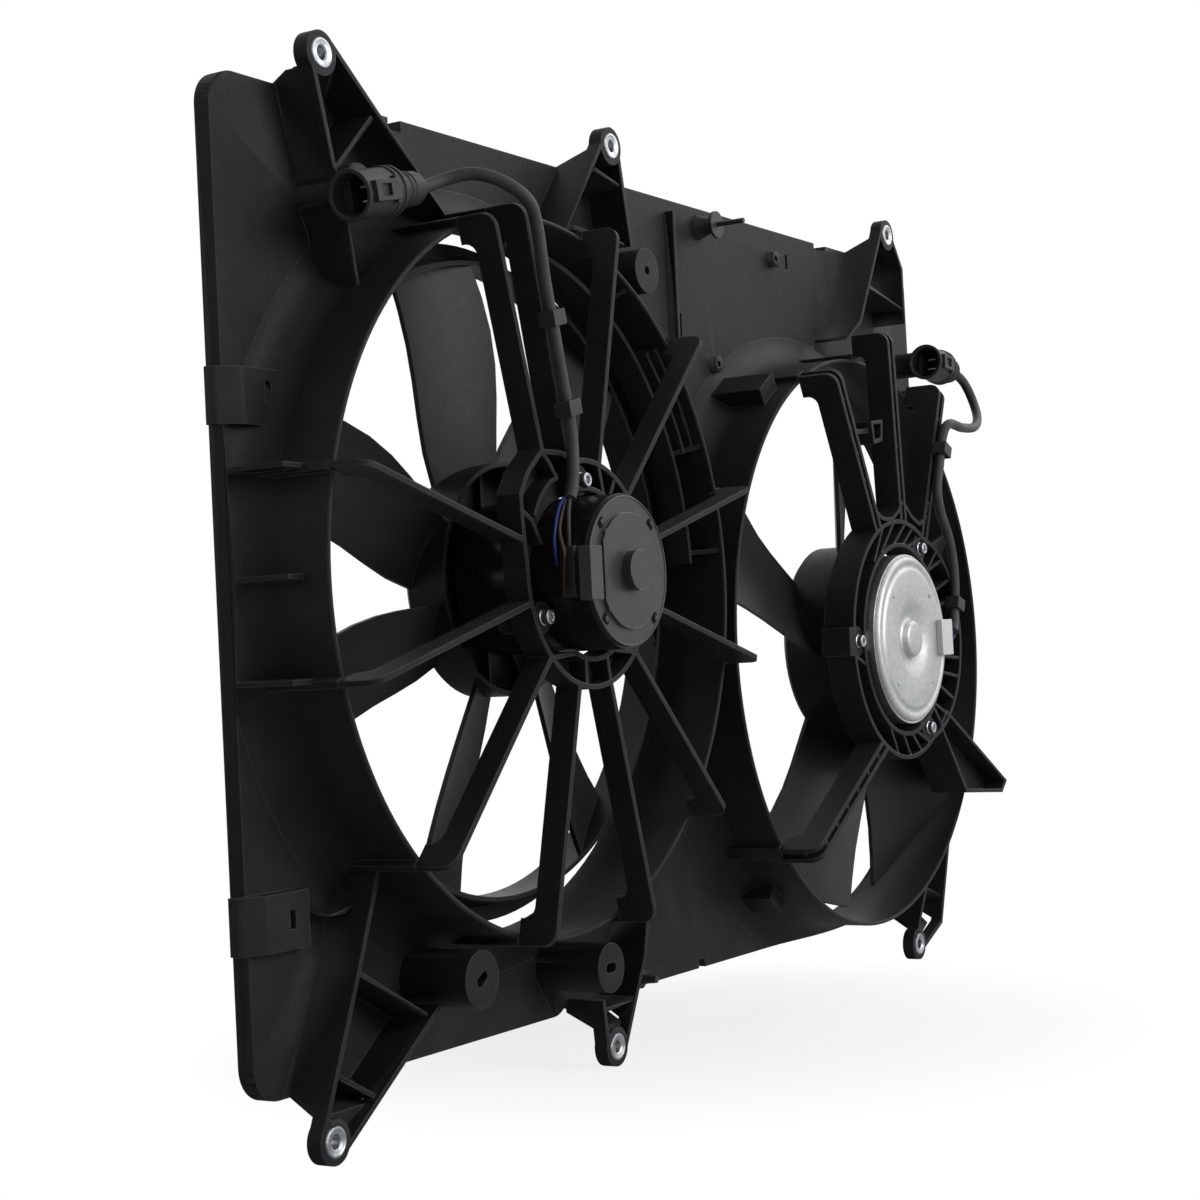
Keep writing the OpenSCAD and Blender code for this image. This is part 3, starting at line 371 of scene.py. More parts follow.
def lathe(profile, sides=64):
    mesh = bmesh.new()
    rings = []
    for r, w in profile:
        if r < 1e-6:
            rings.append([mesh.verts.new((0, 0, w * MM))] * sides)
            continue
        turns = [k * math.tau / sides for k in range(sides)]
        rings.append([mesh.verts.new((r * MM * math.cos(t), r * MM * math.sin(t), w * MM))
                      for t in turns])
    for low_ring, high_ring in zip(rings, rings[1:] + ([rings[0]] if profile[0][0] > 1e-6 else [])):
        for k in range(sides):
            n = (k + 1) % sides
            face = list(dict.fromkeys([low_ring[k], low_ring[n], high_ring[n], high_ring[k]]))
            if len(face) > 2:
                mesh.faces.new(face)
    return outward(mesh)


def as_template(mesh, name, smooth_below=40):
    data = bpy.data.meshes.new(name)
    mesh.to_mesh(data)
    mesh.free()
    data.shade_smooth()
    data.set_sharp_from_angle(angle=math.radians(smooth_below))
    return data


# %% [markdown]
# ## Setting a shape out at many places
# The six bushings, the screws and the pressed marks are each one shape at
# several places. A Geometry Nodes tree puts a copy of the shape on
# every point of a small cloud, turns it by the point's own angle, makes the
# copies real and gives them their finish.

# %% Set-out tree
GEOMETRY = "NodeSocketGeometry"
RESULT = [("Result", GEOMETRY)]


def dressed(tree, copies, material, socket):
    real = add(tree, "GeometryNodeRealizeInstances", {"Geometry": copies})
    skin = add(tree, "GeometryNodeSetMaterial", {"Geometry": real.outputs[0], "Material": material})
    tree.links.new(skin.outputs[0], socket)
    return tree


def set_out_tree(material):
    inputs = [("Places", GEOMETRY, None), ("Shape", "NodeSocketObject", None),
              ("Size", FLOAT, None)]
    tree, t_in, t_out = new_group("set_out", "GeometryNodeTree", inputs, RESULT)
    shape = add(tree, "GeometryNodeObjectInfo", {"Object": t_in["Shape"]})
    turn = add(tree, "GeometryNodeInputNamedAttribute", {"Name": "turn"}, data_type="FLOAT")
    spin = add(tree, "ShaderNodeCombineXYZ", {"X": math.pi / 2, "Y": turn.outputs[0], "Z": 0.0})
    euler = add(tree, "FunctionNodeEulerToRotation", {0: spin.outputs[0]})
    copies = add(tree, "GeometryNodeInstanceOnPoints", {
        "Points": t_in["Places"], "Instance": shape.outputs["Geometry"],
        "Rotation": euler.outputs[0], "Scale": t_in["Size"]})
    return dressed(tree, copies.outputs[0], material, t_out[0])


def settle(piece, tree, values):
    modifier = piece.modifiers.new("grow", "NODES")
    modifier.node_group = tree
    for item in tree.interface.items_tree:
        if item.in_out == "INPUT" and item.name in values:
            modifier[item.identifier] = values[item.name]
    grown = baked(piece)
    piece.modifiers.clear()
    piece.data = grown
    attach(piece, "shroud")
    print(piece.name, len(grown.polygons), "faces")
    return piece


def set_out(name, template, places, material):
    shape = stand(name + "_shape", template)
    points = bpy.data.meshes.new(name)
    points.from_pydata([at(*p[:3]) for p in places], [], [])
    angle = points.attributes.new("turn", "FLOAT", "POINT")
    for k, p in enumerate(places):
        angle.data[k].value = -math.radians(p[3] if len(p) > 3 else 0.0)
    values = {"Shape": shape, "Size": 1.0}
    piece = settle(stand(name, points), set_out_tree(material), values)
    bpy.data.objects.remove(shape)
    return piece


# %% [markdown]
# ## Bushings in the tab ears
# Each ear holds a short steel tube, so that a tight screw never crushes the
# plastic. Its rims are chamfered, which is what glints in the photograph.
# The six are one lathe shape set out at the six ears.

# %% Bushings
TABS = [(-339, 252), (-73, 252), (313, 252), (-366.5, -259.5), (-115, -259.5), (304, -259.5)]
bushing = as_template(lathe([(3.3, 0.7), (4.0, 0), (6.8, 0), (7.5, 0.7), (7.5, 9.3), (7.1, 9.9),
                             (6.2, 10), (5.9, 9.8), (4.4, 9.8), (3.9, 9.6), (3.3, 8.9)], 72),
                      "bushing")
bushings = set_out("tab_bushings", bushing, [(u, v, 23.85) for u, v in TABS], zinc)
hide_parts("mount_bushings")


# %% [markdown]
# ## Motor screws
# The motors hang on three flanged screws each. The head has a washer face,
# a chamfer and a lobed drive recess, so the outline of the recess is made by
# letting its radius swell six times round the turn.

# %% Screws
def screw_shape(tip, seat, head, washer=4.3):
    rim = seat + head
    mesh = lathe([(0, tip), (1.7, tip), (2.45, tip + 0.9), (2.45, seat), (washer, seat),
                  (washer, seat + 0.9), (washer - 0.25, seat + 1.15), (3.75, seat + 1.2),
                  (3.75, rim - 0.5), (3.3, rim), (2.3, rim), (2.05, rim - 0.25), (2.0, rim - 1.9),
                  (0, rim - 2.2)], 48)
    for vert in mesh.verts:
        r = vert.co.xy.length
        if vert.co.z > (rim - 2.0) * MM and 0.0015 < r < 0.0024:
            swell = 1 + 0.13 * math.cos(6 * math.atan2(vert.co.y, vert.co.x))
            vert.co.x, vert.co.y = vert.co.x * swell, vert.co.y * swell
    return mesh


SCREWS = {"left": [polar(LEFT, 48.5, a) + (0, a * 1.7) for a in (92, 207, 330)],
          "right": [polar(RIGHT, 70, a) + (0, a * 1.7) for a in (60, 180, 300)]}
SCREW_HOLE = 2.7
for side_name, sizes in (("left", (61, 77, 5.4)), ("right", (65, 82.0, 4.6))):
    shape = as_template(screw_shape(*sizes), side_name + "_screw")
    screws = set_out(side_name + "_screws", shape, SCREWS[side_name], zinc)
    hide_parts(side_name + "_motor_screws")


# %% [markdown]
# ## Moulded forms in the layout frame
# Struts, rings, ribs and clips are all walls of even thickness that stand up
# from the plate. Each can be drawn as a flat outline and pulled along w, or
# drawn from the side and pulled across its thickness, so a few helpers
# cover them all. Every helper gives a closed shell.

# %% Prisms and walls
def shell(bottom, top):
    mesh = bmesh.new()
    low_ring, high_ring = [mesh.verts.new(p) for p in bottom], [mesh.verts.new(p) for p in top]
    mesh.faces.new(low_ring)
    mesh.faces.new(high_ring[::-1])
    for k in range(len(bottom)):
        n = (k + 1) % len(bottom)
        mesh.faces.new([low_ring[k], high_ring[k], high_ring[n], low_ring[n]])
    return outward(mesh)


def prism(outline, w0, w1, centre=(0, 0)):
    moved = [(u + centre[0], v + centre[1]) for u, v in outline]
    return shell([at(u, v, w0) for u, v in moved], [at(u, v, w1) for u, v in moved])


def box(u0, u1, v0, v1, w0, w1):
    return prism([(u0, v0), (u1, v0), (u1, v1), (u0, v1)], w0, w1)


def circle(r, count=72, centre=(0, 0)):
    return [polar(centre, r, 360 * k / count) for k in range(count)]


def rod(centre, r, w0, w1, count=48):
    return prism(circle(r, count), w0, w1, centre)


def ring(outer, inner, w0, w1, centre=(0, 0)):
    mesh = bmesh.new()
    rows = [[mesh.verts.new(at(u + centre[0], v + centre[1], w)) for u, v in outline]
            for outline, w in ((outer, w0), (outer, w1), (inner, w1), (inner, w0))]
    for row, after in zip(rows, rows[1:] + rows[:1]):
        for k in range(len(row)):
            n = (k + 1) % len(row)
            mesh.faces.new([row[k], row[n], after[n], after[k]])
    return outward(mesh)


def wall(points, thick, w0, w1, centre=(0, 0)):
    path = [Vector(p) for p in points]
    left_side, right_side = [], []
    for k, p in enumerate(path):
        before = (p - path[k - 1]).normalized() if k else (path[1] - p).normalized()
        after = (path[k + 1] - p).normalized() if k + 1 < len(path) else before
        mean = (before + after).normalized()
        out = Vector((-mean.y, mean.x)) * thick / 2 / max(0.3, mean.dot(after))
        left_side.append(p + out)
        right_side.append(p - out)
    return prism(left_side + right_side[::-1], w0, w1, centre)


def arc_wall(centre, outer, inner, a0, a1, w0, w1, count=24):
    angles = [a0 + (a1 - a0) * k / count for k in range(count + 1)]
    rim = [polar((0, 0), outer, a) for a in angles]
    rim += [polar((0, 0), inner, a) for a in reversed(angles)]
    return prism(rim, w0, w1, centre)


def side_plate(a, b, thick, outline, centre=(0, 0)):
    start, along = Vector(a), (Vector(b) - Vector(a)).normalized()
    across = Vector((-along.y, along.x)) * thick / 2
    rows = []
    for s in (1, -1):
        rows.append([at(*(start + along * x + across * s + Vector(centre)), w) for x, w in outline])
    return shell(*rows)


# %% [markdown]
# ## Joining and cutting
# One moulding is many overlapping walls melted together. Blender's exact
# boolean does that in one go when it may treat a mesh that overlaps itself:
# the walls merge, and a second mesh is cut away from the result.

# %% Carve
WELD = 0.000002


def merged(meshes, name):
    joined = bmesh.new()
    for mesh in meshes:
        part = bpy.data.meshes.new("part")
        mesh.to_mesh(part)
        mesh.free()
        joined.from_mesh(part)
        bpy.data.meshes.remove(part)
    data = bpy.data.meshes.new(name)
    joined.to_mesh(data)
    joined.free()
    return stand(name, data)


def carve(name, adds, cuts, replaced=(), material=shroud_black, slot="shroud_plastic",
          smooth_below=35):
    piece = merged(adds, name)
    cutter = merged(cuts or [box(900, 901, 900, 901, 0, 1)], name + "_cutter")
    modifier = piece.modifiers.new("cut", "BOOLEAN")
    modifier.operation, modifier.solver, modifier.use_self = "DIFFERENCE", "EXACT", True
    modifier.object = cutter
    shaped = baked(piece)
    piece.modifiers.clear()
    bpy.data.objects.remove(cutter)
    tidy = bmesh.new()
    tidy.from_mesh(shaped)
    bmesh.ops.remove_doubles(tidy, verts=tidy.verts[:], dist=WELD)
    bmesh.ops.dissolve_degenerate(tidy, edges=tidy.edges[:], dist=WELD)
    tidy.to_mesh(shaped)
    tidy.free()
    shaped.shade_smooth()
    shaped.set_sharp_from_angle(angle=math.radians(smooth_below))
    shaped.materials.clear()
    shaped.materials.append(material)
    piece.data = shaped
    piece.modifiers.new("weigh", "WEIGHTED_NORMAL").keep_sharp = True
    piece.data = baked(piece)
    piece.modifiers.clear()
    if slot:
        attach(piece, "shroud")
        if replaced:
            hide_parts(*replaced)
        print(name, len(piece.data.polygons), "faces")
    return piece


# %% [markdown]
# ## Struts
# Every strut stands on edge, runs from a motor carrier to a throat and turns
# down there into a leg, with a round elbow outside and a round heel inside.
# One side view, pulled across the strut's thickness, gives that form.

# %% Strut
THROAT, THROAT_WALL = 186.5, 2.5
THROAT_OUT = THROAT + THROAT_WALL
STRUT_END = THROAT_OUT + 4
LEG, ELBOW, HEEL = 14.0, 8, 6


def strut(a, b, back, face, centre, thick=3.0):
    length = (Vector(b) - Vector(a)).length
    foot = length - LEG
    outline = [(0, back), (0, face)]
    outline += [polar((length - ELBOW, face - ELBOW), ELBOW, deg) for deg in range(90, -1, -10)]
    outline += [(length, LIP), (foot, LIP)]
    outline += [polar((foot - HEEL, back - HEEL), HEEL, deg) for deg in range(0, 91, 15)]
    return side_plate(a, b, thick, outline, centre)


# %% [markdown]
# ## Left carrier
# The left motor hangs in a ring of cells that swells into a lobe on its
# upper left, where the lead comes through. A thin floor closes the cells at
# the back, and short webs part them.

# %% Left ring, lobe and cells
L_BACK, L_FACE, L_RIM, L_BORE, L_FLOOR = 66, 80, 60, 43, 3
RIM_WALL, CELL_WALL, CASE_CLEAR = 2.6, 2.3, 40.8
LOBE = [(-9.6, 58.8), (-23.1, 61.4), (-40.9, 61.5), (-54.7, 50.3), (-62, 39.1), (-61.5, 28),
        (-61, 20.3), (-58.9, 1.4)]
LOBE_FLOOR = [(-5, 50), (-9.6, 58)] + LOBE[1:-1] + [(-57.5, 1.4), (-50, -5), (-44, 3), (-30, 32)]
LOBE_INNER = [(-27.1, 48.5), (-33.5, 46.6), (-38.9, 42.9), (-45.5, 36.5), (-50.3, 28.5)]
LOBE_WEBS = [[(-40.9, 61.5), (-34.8, 57.3), (-27.1, 48.5)],
             [(-62.2, 32.1), (-52.3, 26.4), (-44.2, 14.6)]]
WEBS = [((-17, -40.8), (-40.6, -42.8)), ((19, -39.8), (41.8, -41.6)),
        ((-7.9, -43.6), (-8.3, -58.6)), ((12.6, -42.3), (15.6, -57.2)), ((44, 0), (58.8, 0)),
        ((38.1, 22), (51.4, 29.4)), ((22, 38.1), (29.7, 50.9)), ((13.5, 57), (17.6, 40.6)),
        ((-11, 43), (-13.5, 57.5))]
walls = [arc_wall(LEFT, L_RIM, L_RIM - RIM_WALL, 178, 460.5, L_BACK, L_FACE, 90),
         wall(LOBE, RIM_WALL, L_BACK, L_FACE, LEFT),
         ring(circle(L_RIM - 0.5), circle(L_BORE), L_BACK, L_BACK + L_FLOOR, LEFT),
         prism(LOBE_FLOOR, L_BACK, L_BACK + L_FLOOR, LEFT),
         wall(LOBE_INNER, 2.2, L_BACK, L_FACE, LEFT)]
walls += [wall(path, 2.2, L_BACK, L_FACE - 0.6, LEFT) for path in LOBE_WEBS]
for a0, a1 in ((-112, -56), (-45, 105)):
    walls.append(arc_wall(LEFT, L_BORE + RIM_WALL, L_BORE, a0, a1, L_BACK, L_FACE, 40))
walls += [wall(ends, CELL_WALL, L_BACK, L_FACE - 0.3, LEFT) for ends in WEBS]
print("left cells", len(walls), "walls")


# %% [markdown]
# ## Left struts and screw posts
# Three posts take the motor's screws and reach back to its ears. Ten struts
# run straight out from the ring, and two more leave the lobe side by side
# and carry the lead. All of it is joined and bored in one go.

# %% Left carrier joined
SPOKES = (165, 195, 226, 255, 285, 315, 345, 15.5, 45, 76)
LEAD_STRUTS = (((-73.6, 178.5), (-40.1, 61.2)), ((-46.2, 187.3), (-16.2, 60.2)))
walls += [rod(place, 8, LIP, L_FACE - 3) for place in SCREWS["left"]]
for a in SPOKES:
    start = 61.6 if a == 165 else L_RIM - 1.2
    walls.append(strut(polar((0, 0), start, a), polar((0, 0), STRUT_END, a), L_BACK, L_FACE, LEFT))
walls += [strut(inner, outer, L_BACK, L_FACE, LEFT) for outer, inner in LEAD_STRUTS]
walls.append(arc_wall(LEFT, L_BORE + 1, CASE_CLEAR, 100, 172, L_BACK, L_BACK + L_FLOOR, 30))
holes = [rod(LEFT, CASE_CLEAR, LIP - 3, L_BACK + 20, 96)]
for place in SCREWS["left"]:
    holes += [rod(place, SCREW_HOLE, LIP - 3, L_FACE + 1, 24),
              rod(place, 4.6, L_FACE - 3, L_FACE + 1, 32)]
carve("left_carrier", walls, holes, ("left_motor_carrier", "left_struts"))


# %% [markdown]
# ## Right carrier
# The right motor's carrier is a deep ring with a round lobe toward the
# outer side. Its outline is the outer one of two circles, seen from a point
# between their centres, and an even gap runs inside it round the motor.

# %% Right outline
RING, LOBE_R, LOBE_SHIFT, EYE = 79.5, 69.5, 27.0, 13.0
R_BACK, R_FACE, R_BORE, R_FLOOR = 64, 84, 64, 2.5
LOBE_CENTRE = Vector((LOBE_SHIFT, 0))


def carrier_outline(inset, count=144):
    points = []
    for k in range(count):
        c, s = math.cos(math.tau * k / count), math.sin(math.tau * k / count)
        reach = 0
        for centre_u, radius in ((0, RING - inset), (LOBE_SHIFT, LOBE_R - inset)):
            off = EYE - centre_u
            reach = max(reach, -off * c + math.sqrt(radius * radius - (off * s) ** 2))
        points.append((EYE + reach * c, reach * s))
    return points


def inside_outline(p, inset):
    return p.length < RING - inset or (p - LOBE_CENTRE).length < LOBE_R - inset


walls = [ring(carrier_outline(0), carrier_outline(RIM_WALL), R_BACK, R_FACE, RIGHT),
         ring(circle(R_BORE, 144), circle(R_BORE - RIM_WALL, 144), R_BACK, R_FACE, RIGHT),
         ring(carrier_outline(1), circle(R_BORE - 1, 144), R_BACK, R_BACK + R_FLOOR, RIGHT)]
print("right ring", len(walls), "rings")


# %% [markdown]
# ## Ribs of the right carrier
# Thin ribs cross the gap between the two rings, most of them at a slant.
# Each is given by two points on its line, and it is lengthened or cut until
# it ends in the middle of both rings.

# %% Right ribs
RIBS = [((-37.1, 56.2), (-28.2, 68.6)), ((-24.8, 60.7), (-10.5, 73.9)), ((-9.6, 62.1), (8.8, 74.9)),
        ((7.3, 63.6), (24.3, 74.7)), ((14.5, 61.8), (46.2, 70.6)), ((45.9, 47), (64, 60.7)),
        ((45.5, 45.8), (67.5, 52.4)), ((56.9, 32.3), (82.7, 40)), ((63.7, 22.6), (95.8, 25.6)),
        ((64.5, -13), (95.3, -15.1)), ((62, -24), (91, -28)), ((56, -32.8), (84.2, -45.4)),
        ((47.9, -45.7), (66.5, -53)), ((45.8, -49.5), (57.2, -60.9)), ((14.5, -62.4), (41, -73.2)),
        ((8.7, -65.8), (19.9, -75.9)), ((-9.2, -62.3), (1.1, -77.2)),
        ((-26.9, -60.1), (-19.6, -72.8)), ((-62.3, -14.5), (-70, -11.7))]
RIB_STEP, RIB_SHORTEST, RIB_LONGEST_BACK = 0.1, 3, -6


def between_rings(a, b):
    start, along = Vector(a), (Vector(b) - Vector(a)).normalized()
    inner_r, x = R_BORE - RIM_WALL / 2, 0.0
    while (start + along * x).length < inner_r:
        x += RIB_STEP
    while (start + along * x).length > inner_r and x > RIB_LONGEST_BACK:
        x -= RIB_STEP
    y = x + RIB_SHORTEST
    while inside_outline(start + along * y, RIM_WALL / 2):
        y += RIB_STEP
    return start + along * x, start + along * y


walls += [wall(between_rings(a, b), 1.9, R_BACK + 1, R_FACE - 0.6, RIGHT) for a, b in RIBS]
walls += [rod(place, 9.5, R_BACK, R_FACE - 2) for place in SCREWS["right"]]
pad_u, pad_v = RIGHT[0] - RING, RIGHT[1]
walls.append(box(pad_u - 6, pad_u + 2, pad_v - 9, pad_v + 9, R_BACK, R_FACE))
print("right ribs", len(RIBS))


# %% [markdown]
# ## Right arms
# Four double arms hold the right carrier: two struts side by side, tied by
# small bridges that leave a row of slots, with an end web in the leg.

# %% Right arms
ARMS = [((-82, 170.5), (-34, 76)), ((1.5, 203), (9, 80)), ((87, 173), (44, 72)),
        ((-143, -128), (-38, -70))]
ARM_BACK, ARM_HALF, BRIDGE, BRIDGE_PITCH = R_BACK + 3, 3.5, 3, 19
for outer_end, inner_end in ARMS:
    out, into = Vector(outer_end), Vector(inner_end)
    along = (out - into).normalized()
    across = Vector((-along.y, along.x))
    reach = out + out.normalized() * 2
    for s in (-ARM_HALF, ARM_HALF):
        root = into * 0.94 + across * s
        while root.length < RING - 1.0:
            root += along * 0.2
        walls.append(strut(root, reach + across * s, ARM_BACK, R_FACE, RIGHT))
    walls.append(wall([out - along * 9, out - along], 5, LIP + 1, R_FACE - 11, RIGHT))
    step = 10.0
    while step < (out - into).length - LEG:
        bridge = [into + along * step, into + along * (step + BRIDGE)]
        walls.append(wall(bridge, 5, ARM_BACK, R_FACE - 1.5, RIGHT))
        step += BRIDGE_PITCH
print("right arms", len(ARMS))


# %% [markdown]
# ## Between the arms
# Two curved walls join the upper arms, a square clip stands on a web beside
# the left one, and a three-sided bracket with a low floor points to the
# lower right. Then the whole carrier is joined and its screw holes cut.

# %% Right carrier joined
CROOKS = (((-33.5, 83.5), (-26.6, 80), (-18, 79), (-8.8, 80), (0.9, 85.1), (7.9, 91.5)),
          ((10.8, 90.4), (22, 81.9), (33.9, 77.2), (42.2, 79.9), (51.9, 93)))
CLIP_OUTER = [(-36, 143), (-18, 145), (-20, 131), (-33, 128)]
CLIP_INNER = [(-33, 141), (-20.5, 142.4), (-22, 133), (-31.5, 131)]
BRACKET_OUTER = [(168, -106), (158, -114), (92, -109), (52, -60), (64, -50)]
BRACKET_INNER = [(164, -106), (157, -111.4), (93.5, -106.6), (54.5, -60.3), (63.8, -52.6)]
BRACKET_HOLE = (RIGHT[0] + 120, RIGHT[1] - 98)
walls += [wall(path, 2.2, ARM_BACK, R_FACE, RIGHT) for path in CROOKS]
walls.append(wall([(-66, 134), (-34, 137)], 3, 70, R_FACE - 3, RIGHT))
walls += [ring(CLIP_OUTER, CLIP_INNER, 70, R_FACE, RIGHT), prism(CLIP_OUTER, 70, 73, RIGHT),
          ring(BRACKET_OUTER, BRACKET_INNER, LIP, R_FACE, RIGHT),
          prism(BRACKET_OUTER, LIP + 8, LIP + 10.5, RIGHT)]
holes = [rod(RIGHT, R_BORE - RIM_WALL, R_BACK - 4, R_FACE + 3, 144),
         rod(BRACKET_HOLE, 2.2, LIP, 99, 24)]
holes += [rod(place, SCREW_HOLE, R_BACK - 4, R_FACE + 1, 24) for place in SCREWS["right"]]
carve("right_carrier", walls, holes, ("right_motor_carrier", "right_struts"))


# %% [markdown]
# ## Throats
# Each throat is a short barrel that flows into the plate through a wide
# cove, as moulded air ducts do. The barrels nearly touch, so each stops at
# the plane halfway between them, and neither reaches past the plate. So a
# throat is spun like the round pieces and then cut by plain blocks.

# %% Throat barrel
COVE, FAR = 20.0, 520


def throat_shell(centre):
    foot_r = THROAT_OUT + COVE
    outline = [(THROAT, PLATE - 0.4), (foot_r, PLATE - 0.4), (foot_r, PLATE)]
    for deg in range(84, -1, -7):
        a = math.radians(deg)
        outline.append((THROAT_OUT + COVE * (1 - math.cos(a)), PLATE + COVE * (1 - math.sin(a))))
    outline += [(THROAT_OUT, LIP - 0.8), (THROAT_OUT - 0.8, LIP), (THROAT + 0.8, LIP),
                (THROAT, LIP - 0.8)]
    mesh = lathe(outline, 160)
    for vert in mesh.verts:
        x, y, z = vert.co
        vert.co = (x + centre[0] * MM, -z, y + centre[1] * MM)
    return outward(mesh)


def radial_rib(centre, angle, thick, r0, r1, w0, w1):
    return wall([polar((0, 0), r0, angle), polar((0, 0), r1, angle)], thick, w0, w1, centre)


def past_the_plate(sign):
    middle = (Vector(LEFT) + Vector(RIGHT)) / 2
    along = (Vector(RIGHT) - Vector(LEFT)).normalized() * sign
    across, size = Vector((-along.y, along.x)), 130
    corner_points = [middle + across * size, middle - across * size,
                     middle - across * size + along * size, middle + across * size + along * size]
    return [box(-FAR, -394, -400, 400, -5, 120), box(394, FAR, -400, 400, -5, 120),
            box(-FAR, FAR, -400, -237, -5, 120), prism(corner_points, -1, 120)]


# %% [markdown]
# ## Left and right throat
# Feet on the barrels take the legs of the struts, three flat ribs brace the
# left barrel to the panel's edge, and a partial inner wall with slanted
# ribs guards the upper right of the left throat.

# %% Throats
GUARD, RIB_TOP = THROAT - 8, LIP - 0.05
walls = [throat_shell(LEFT)]
for a in SPOKES + (112.4, 103.9):
    walls.append(radial_rib(LEFT, a, 4, THROAT + 1, STRUT_END, PLATE, RIB_TOP))
for v in (51, 0, -48):
    barrel_u = LEFT[0] - math.sqrt(THROAT_OUT ** 2 - v * v) + 1.5
    walls.append(box(-393.9, barrel_u, LEFT[1] + v - 1.2, LEFT[1] + v + 1.2, PLATE - 0.5, 43))
walls.append(arc_wall(LEFT, GUARD, GUARD - 2.5, 3, 92, 24, 41, 48))
for a in (5, 24.5, 60, 88.5):
    slant = [(0, 26), (0, 41), (9.6, 56), (9.6, 26)]
    walls.append(side_plate(polar((0, 0), GUARD - 1, a), polar((0, 0), GUARD + 20, a), 2.5, slant,
                            LEFT))
walls += [arc_wall(LEFT, GUARD + 4, GUARD + 2, 24, 45.5, 30, 46.5, 12),
          arc_wall(LEFT, GUARD + 7.5, GUARD + 5.5, 24, 45.5, 30, 51, 12),
          radial_rib(LEFT, 45, 2, GUARD + 2.5, THROAT + 0.8, 30, 46)]
carve("left_barrel", walls, past_the_plate(1), ("left_throat",), smooth_below=28)
walls = [throat_shell(RIGHT)]
for (u, v), _ in ARMS:
    angle = math.degrees(math.atan2(v, u))
    walls.append(radial_rib(RIGHT, angle, 10, THROAT + 1, THROAT_OUT + 3.6, PLATE, RIB_TOP))
bracket_turn = math.degrees(math.atan2(-109, 170.5))
walls.append(radial_rib(RIGHT, bracket_turn, 9, THROAT + 1, 202, PLATE, RIB_TOP))
walls += [radial_rib(RIGHT, 123, 22, THROAT_OUT - 1, THROAT_OUT + 11, PLATE, 46),
          radial_rib(RIGHT, 236, 18, THROAT_OUT - 1, THROAT_OUT + 9, PLATE, 35)]
carve("right_barrel", walls, past_the_plate(-1), ("right_throat",), smooth_below=28)


# %% [markdown]
# ## Trimmed panel
# The plate needs finer clips, floors under the ears, one thin rib and smooth
# post ends. The solid's own mesh is copied and merged, and the plain clips,
# the two webs and the ends of the three screw posts are cut off it first, so
# every hole and rim of the panel stays where it is.

# %% Panel trimmed
EDGE, TOP, REAR, CLIP_UP = -394, 240, 6.5, 20
POSTS = [((-267, -199), 14.5, 5, 30), ((-145, -211), 13.5, 5, 0), ((-68, 178), 13, 0.4, 0)]
base = bmesh.new()
base.from_mesh(nodes["shroud_panel"].data)
bmesh.ops.remove_doubles(base, verts=base.verts[:], dist=0.000001)
holes = []
for v0, v1, inner_u in ((72, 101, -360), (-173, -140, -353)):
    holes += [box(EDGE - 20, EDGE, v0, v1, -1, CLIP_UP),
              box(EDGE - 1, inner_u, v0, v1, PLATE, CLIP_UP)]
holes.append(box(33, 44, 151, 234, PLATE, 18))
holes += [rod(centre, r + 3, 47, 56) for centre, r, _, _ in POSTS]
trimmed = carve("panel_trimmed", [base], holes, slot=None)
panel_mesh = bmesh.new()
panel_mesh.from_mesh(trimmed.data)
bpy.data.objects.remove(trimmed)
print("panel trimmed", len(panel_mesh.faces), "faces")


# %% [markdown]
# ## Edge clips and post ends
# Each edge clip is a bent wall that hooks round the plate's edge, with a
# cheek at each end and a slot through it. The screw posts end in a flat face
# with a slotted hole, whose outline is a circle pulled apart.

# %% Clips and posts
CLIP_HOOK = [(1, 3), (-5, 3), (-5, 8), (-4, 9.5), (6, 15.2), (8, 16), (37, 16), (37, 13), (8.5, 13),
             (-2, 6.8), (-2, 5.8), (1, 5.8)]
CLIP_SIDE = CLIP_HOOK[:7] + [(37, REAR + 1), (1, REAR + 1)]
POST_FACE, HOLE_R, CHEEK = 50, 2.6, 2.5
walls = [panel_mesh]
for v0, v1 in ((73, 100), (-171, -144)):
    middle = (v0 + v1) / 2
    walls.append(side_plate((EDGE, middle), (0, middle), v1 - v0, CLIP_HOOK))
    for v in (v0 + CHEEK / 2, v1 - CHEEK / 2):
        walls.append(side_plate((EDGE, v), (0, v), CHEEK, CLIP_SIDE))
for centre, r, length, turned in POSTS:
    outer, inner = [], []
    c, s = math.cos(math.radians(turned)), math.sin(math.radians(turned))
    for k in range(72):
        t = math.tau * k / 72
        x, y = math.copysign(length / 2, math.cos(t)) + HOLE_R * math.cos(t), HOLE_R * math.sin(t)
        outer.append(polar((0, 0), r, math.degrees(t) + turned))
        inner.append((x * c - y * s, x * s + y * c))
    walls.append(ring(outer, inner, 46, POST_FACE, centre))
print("clips and posts", len(walls) - 1, "forms")


# %% [markdown]
# ## Floors under the ears
# Between the two gusset walls of each tab a sloping floor climbs from the
# plate to the back of the ear. It is one side view whose two ends sit on the
# two walls, so it narrows toward the ear as they do.

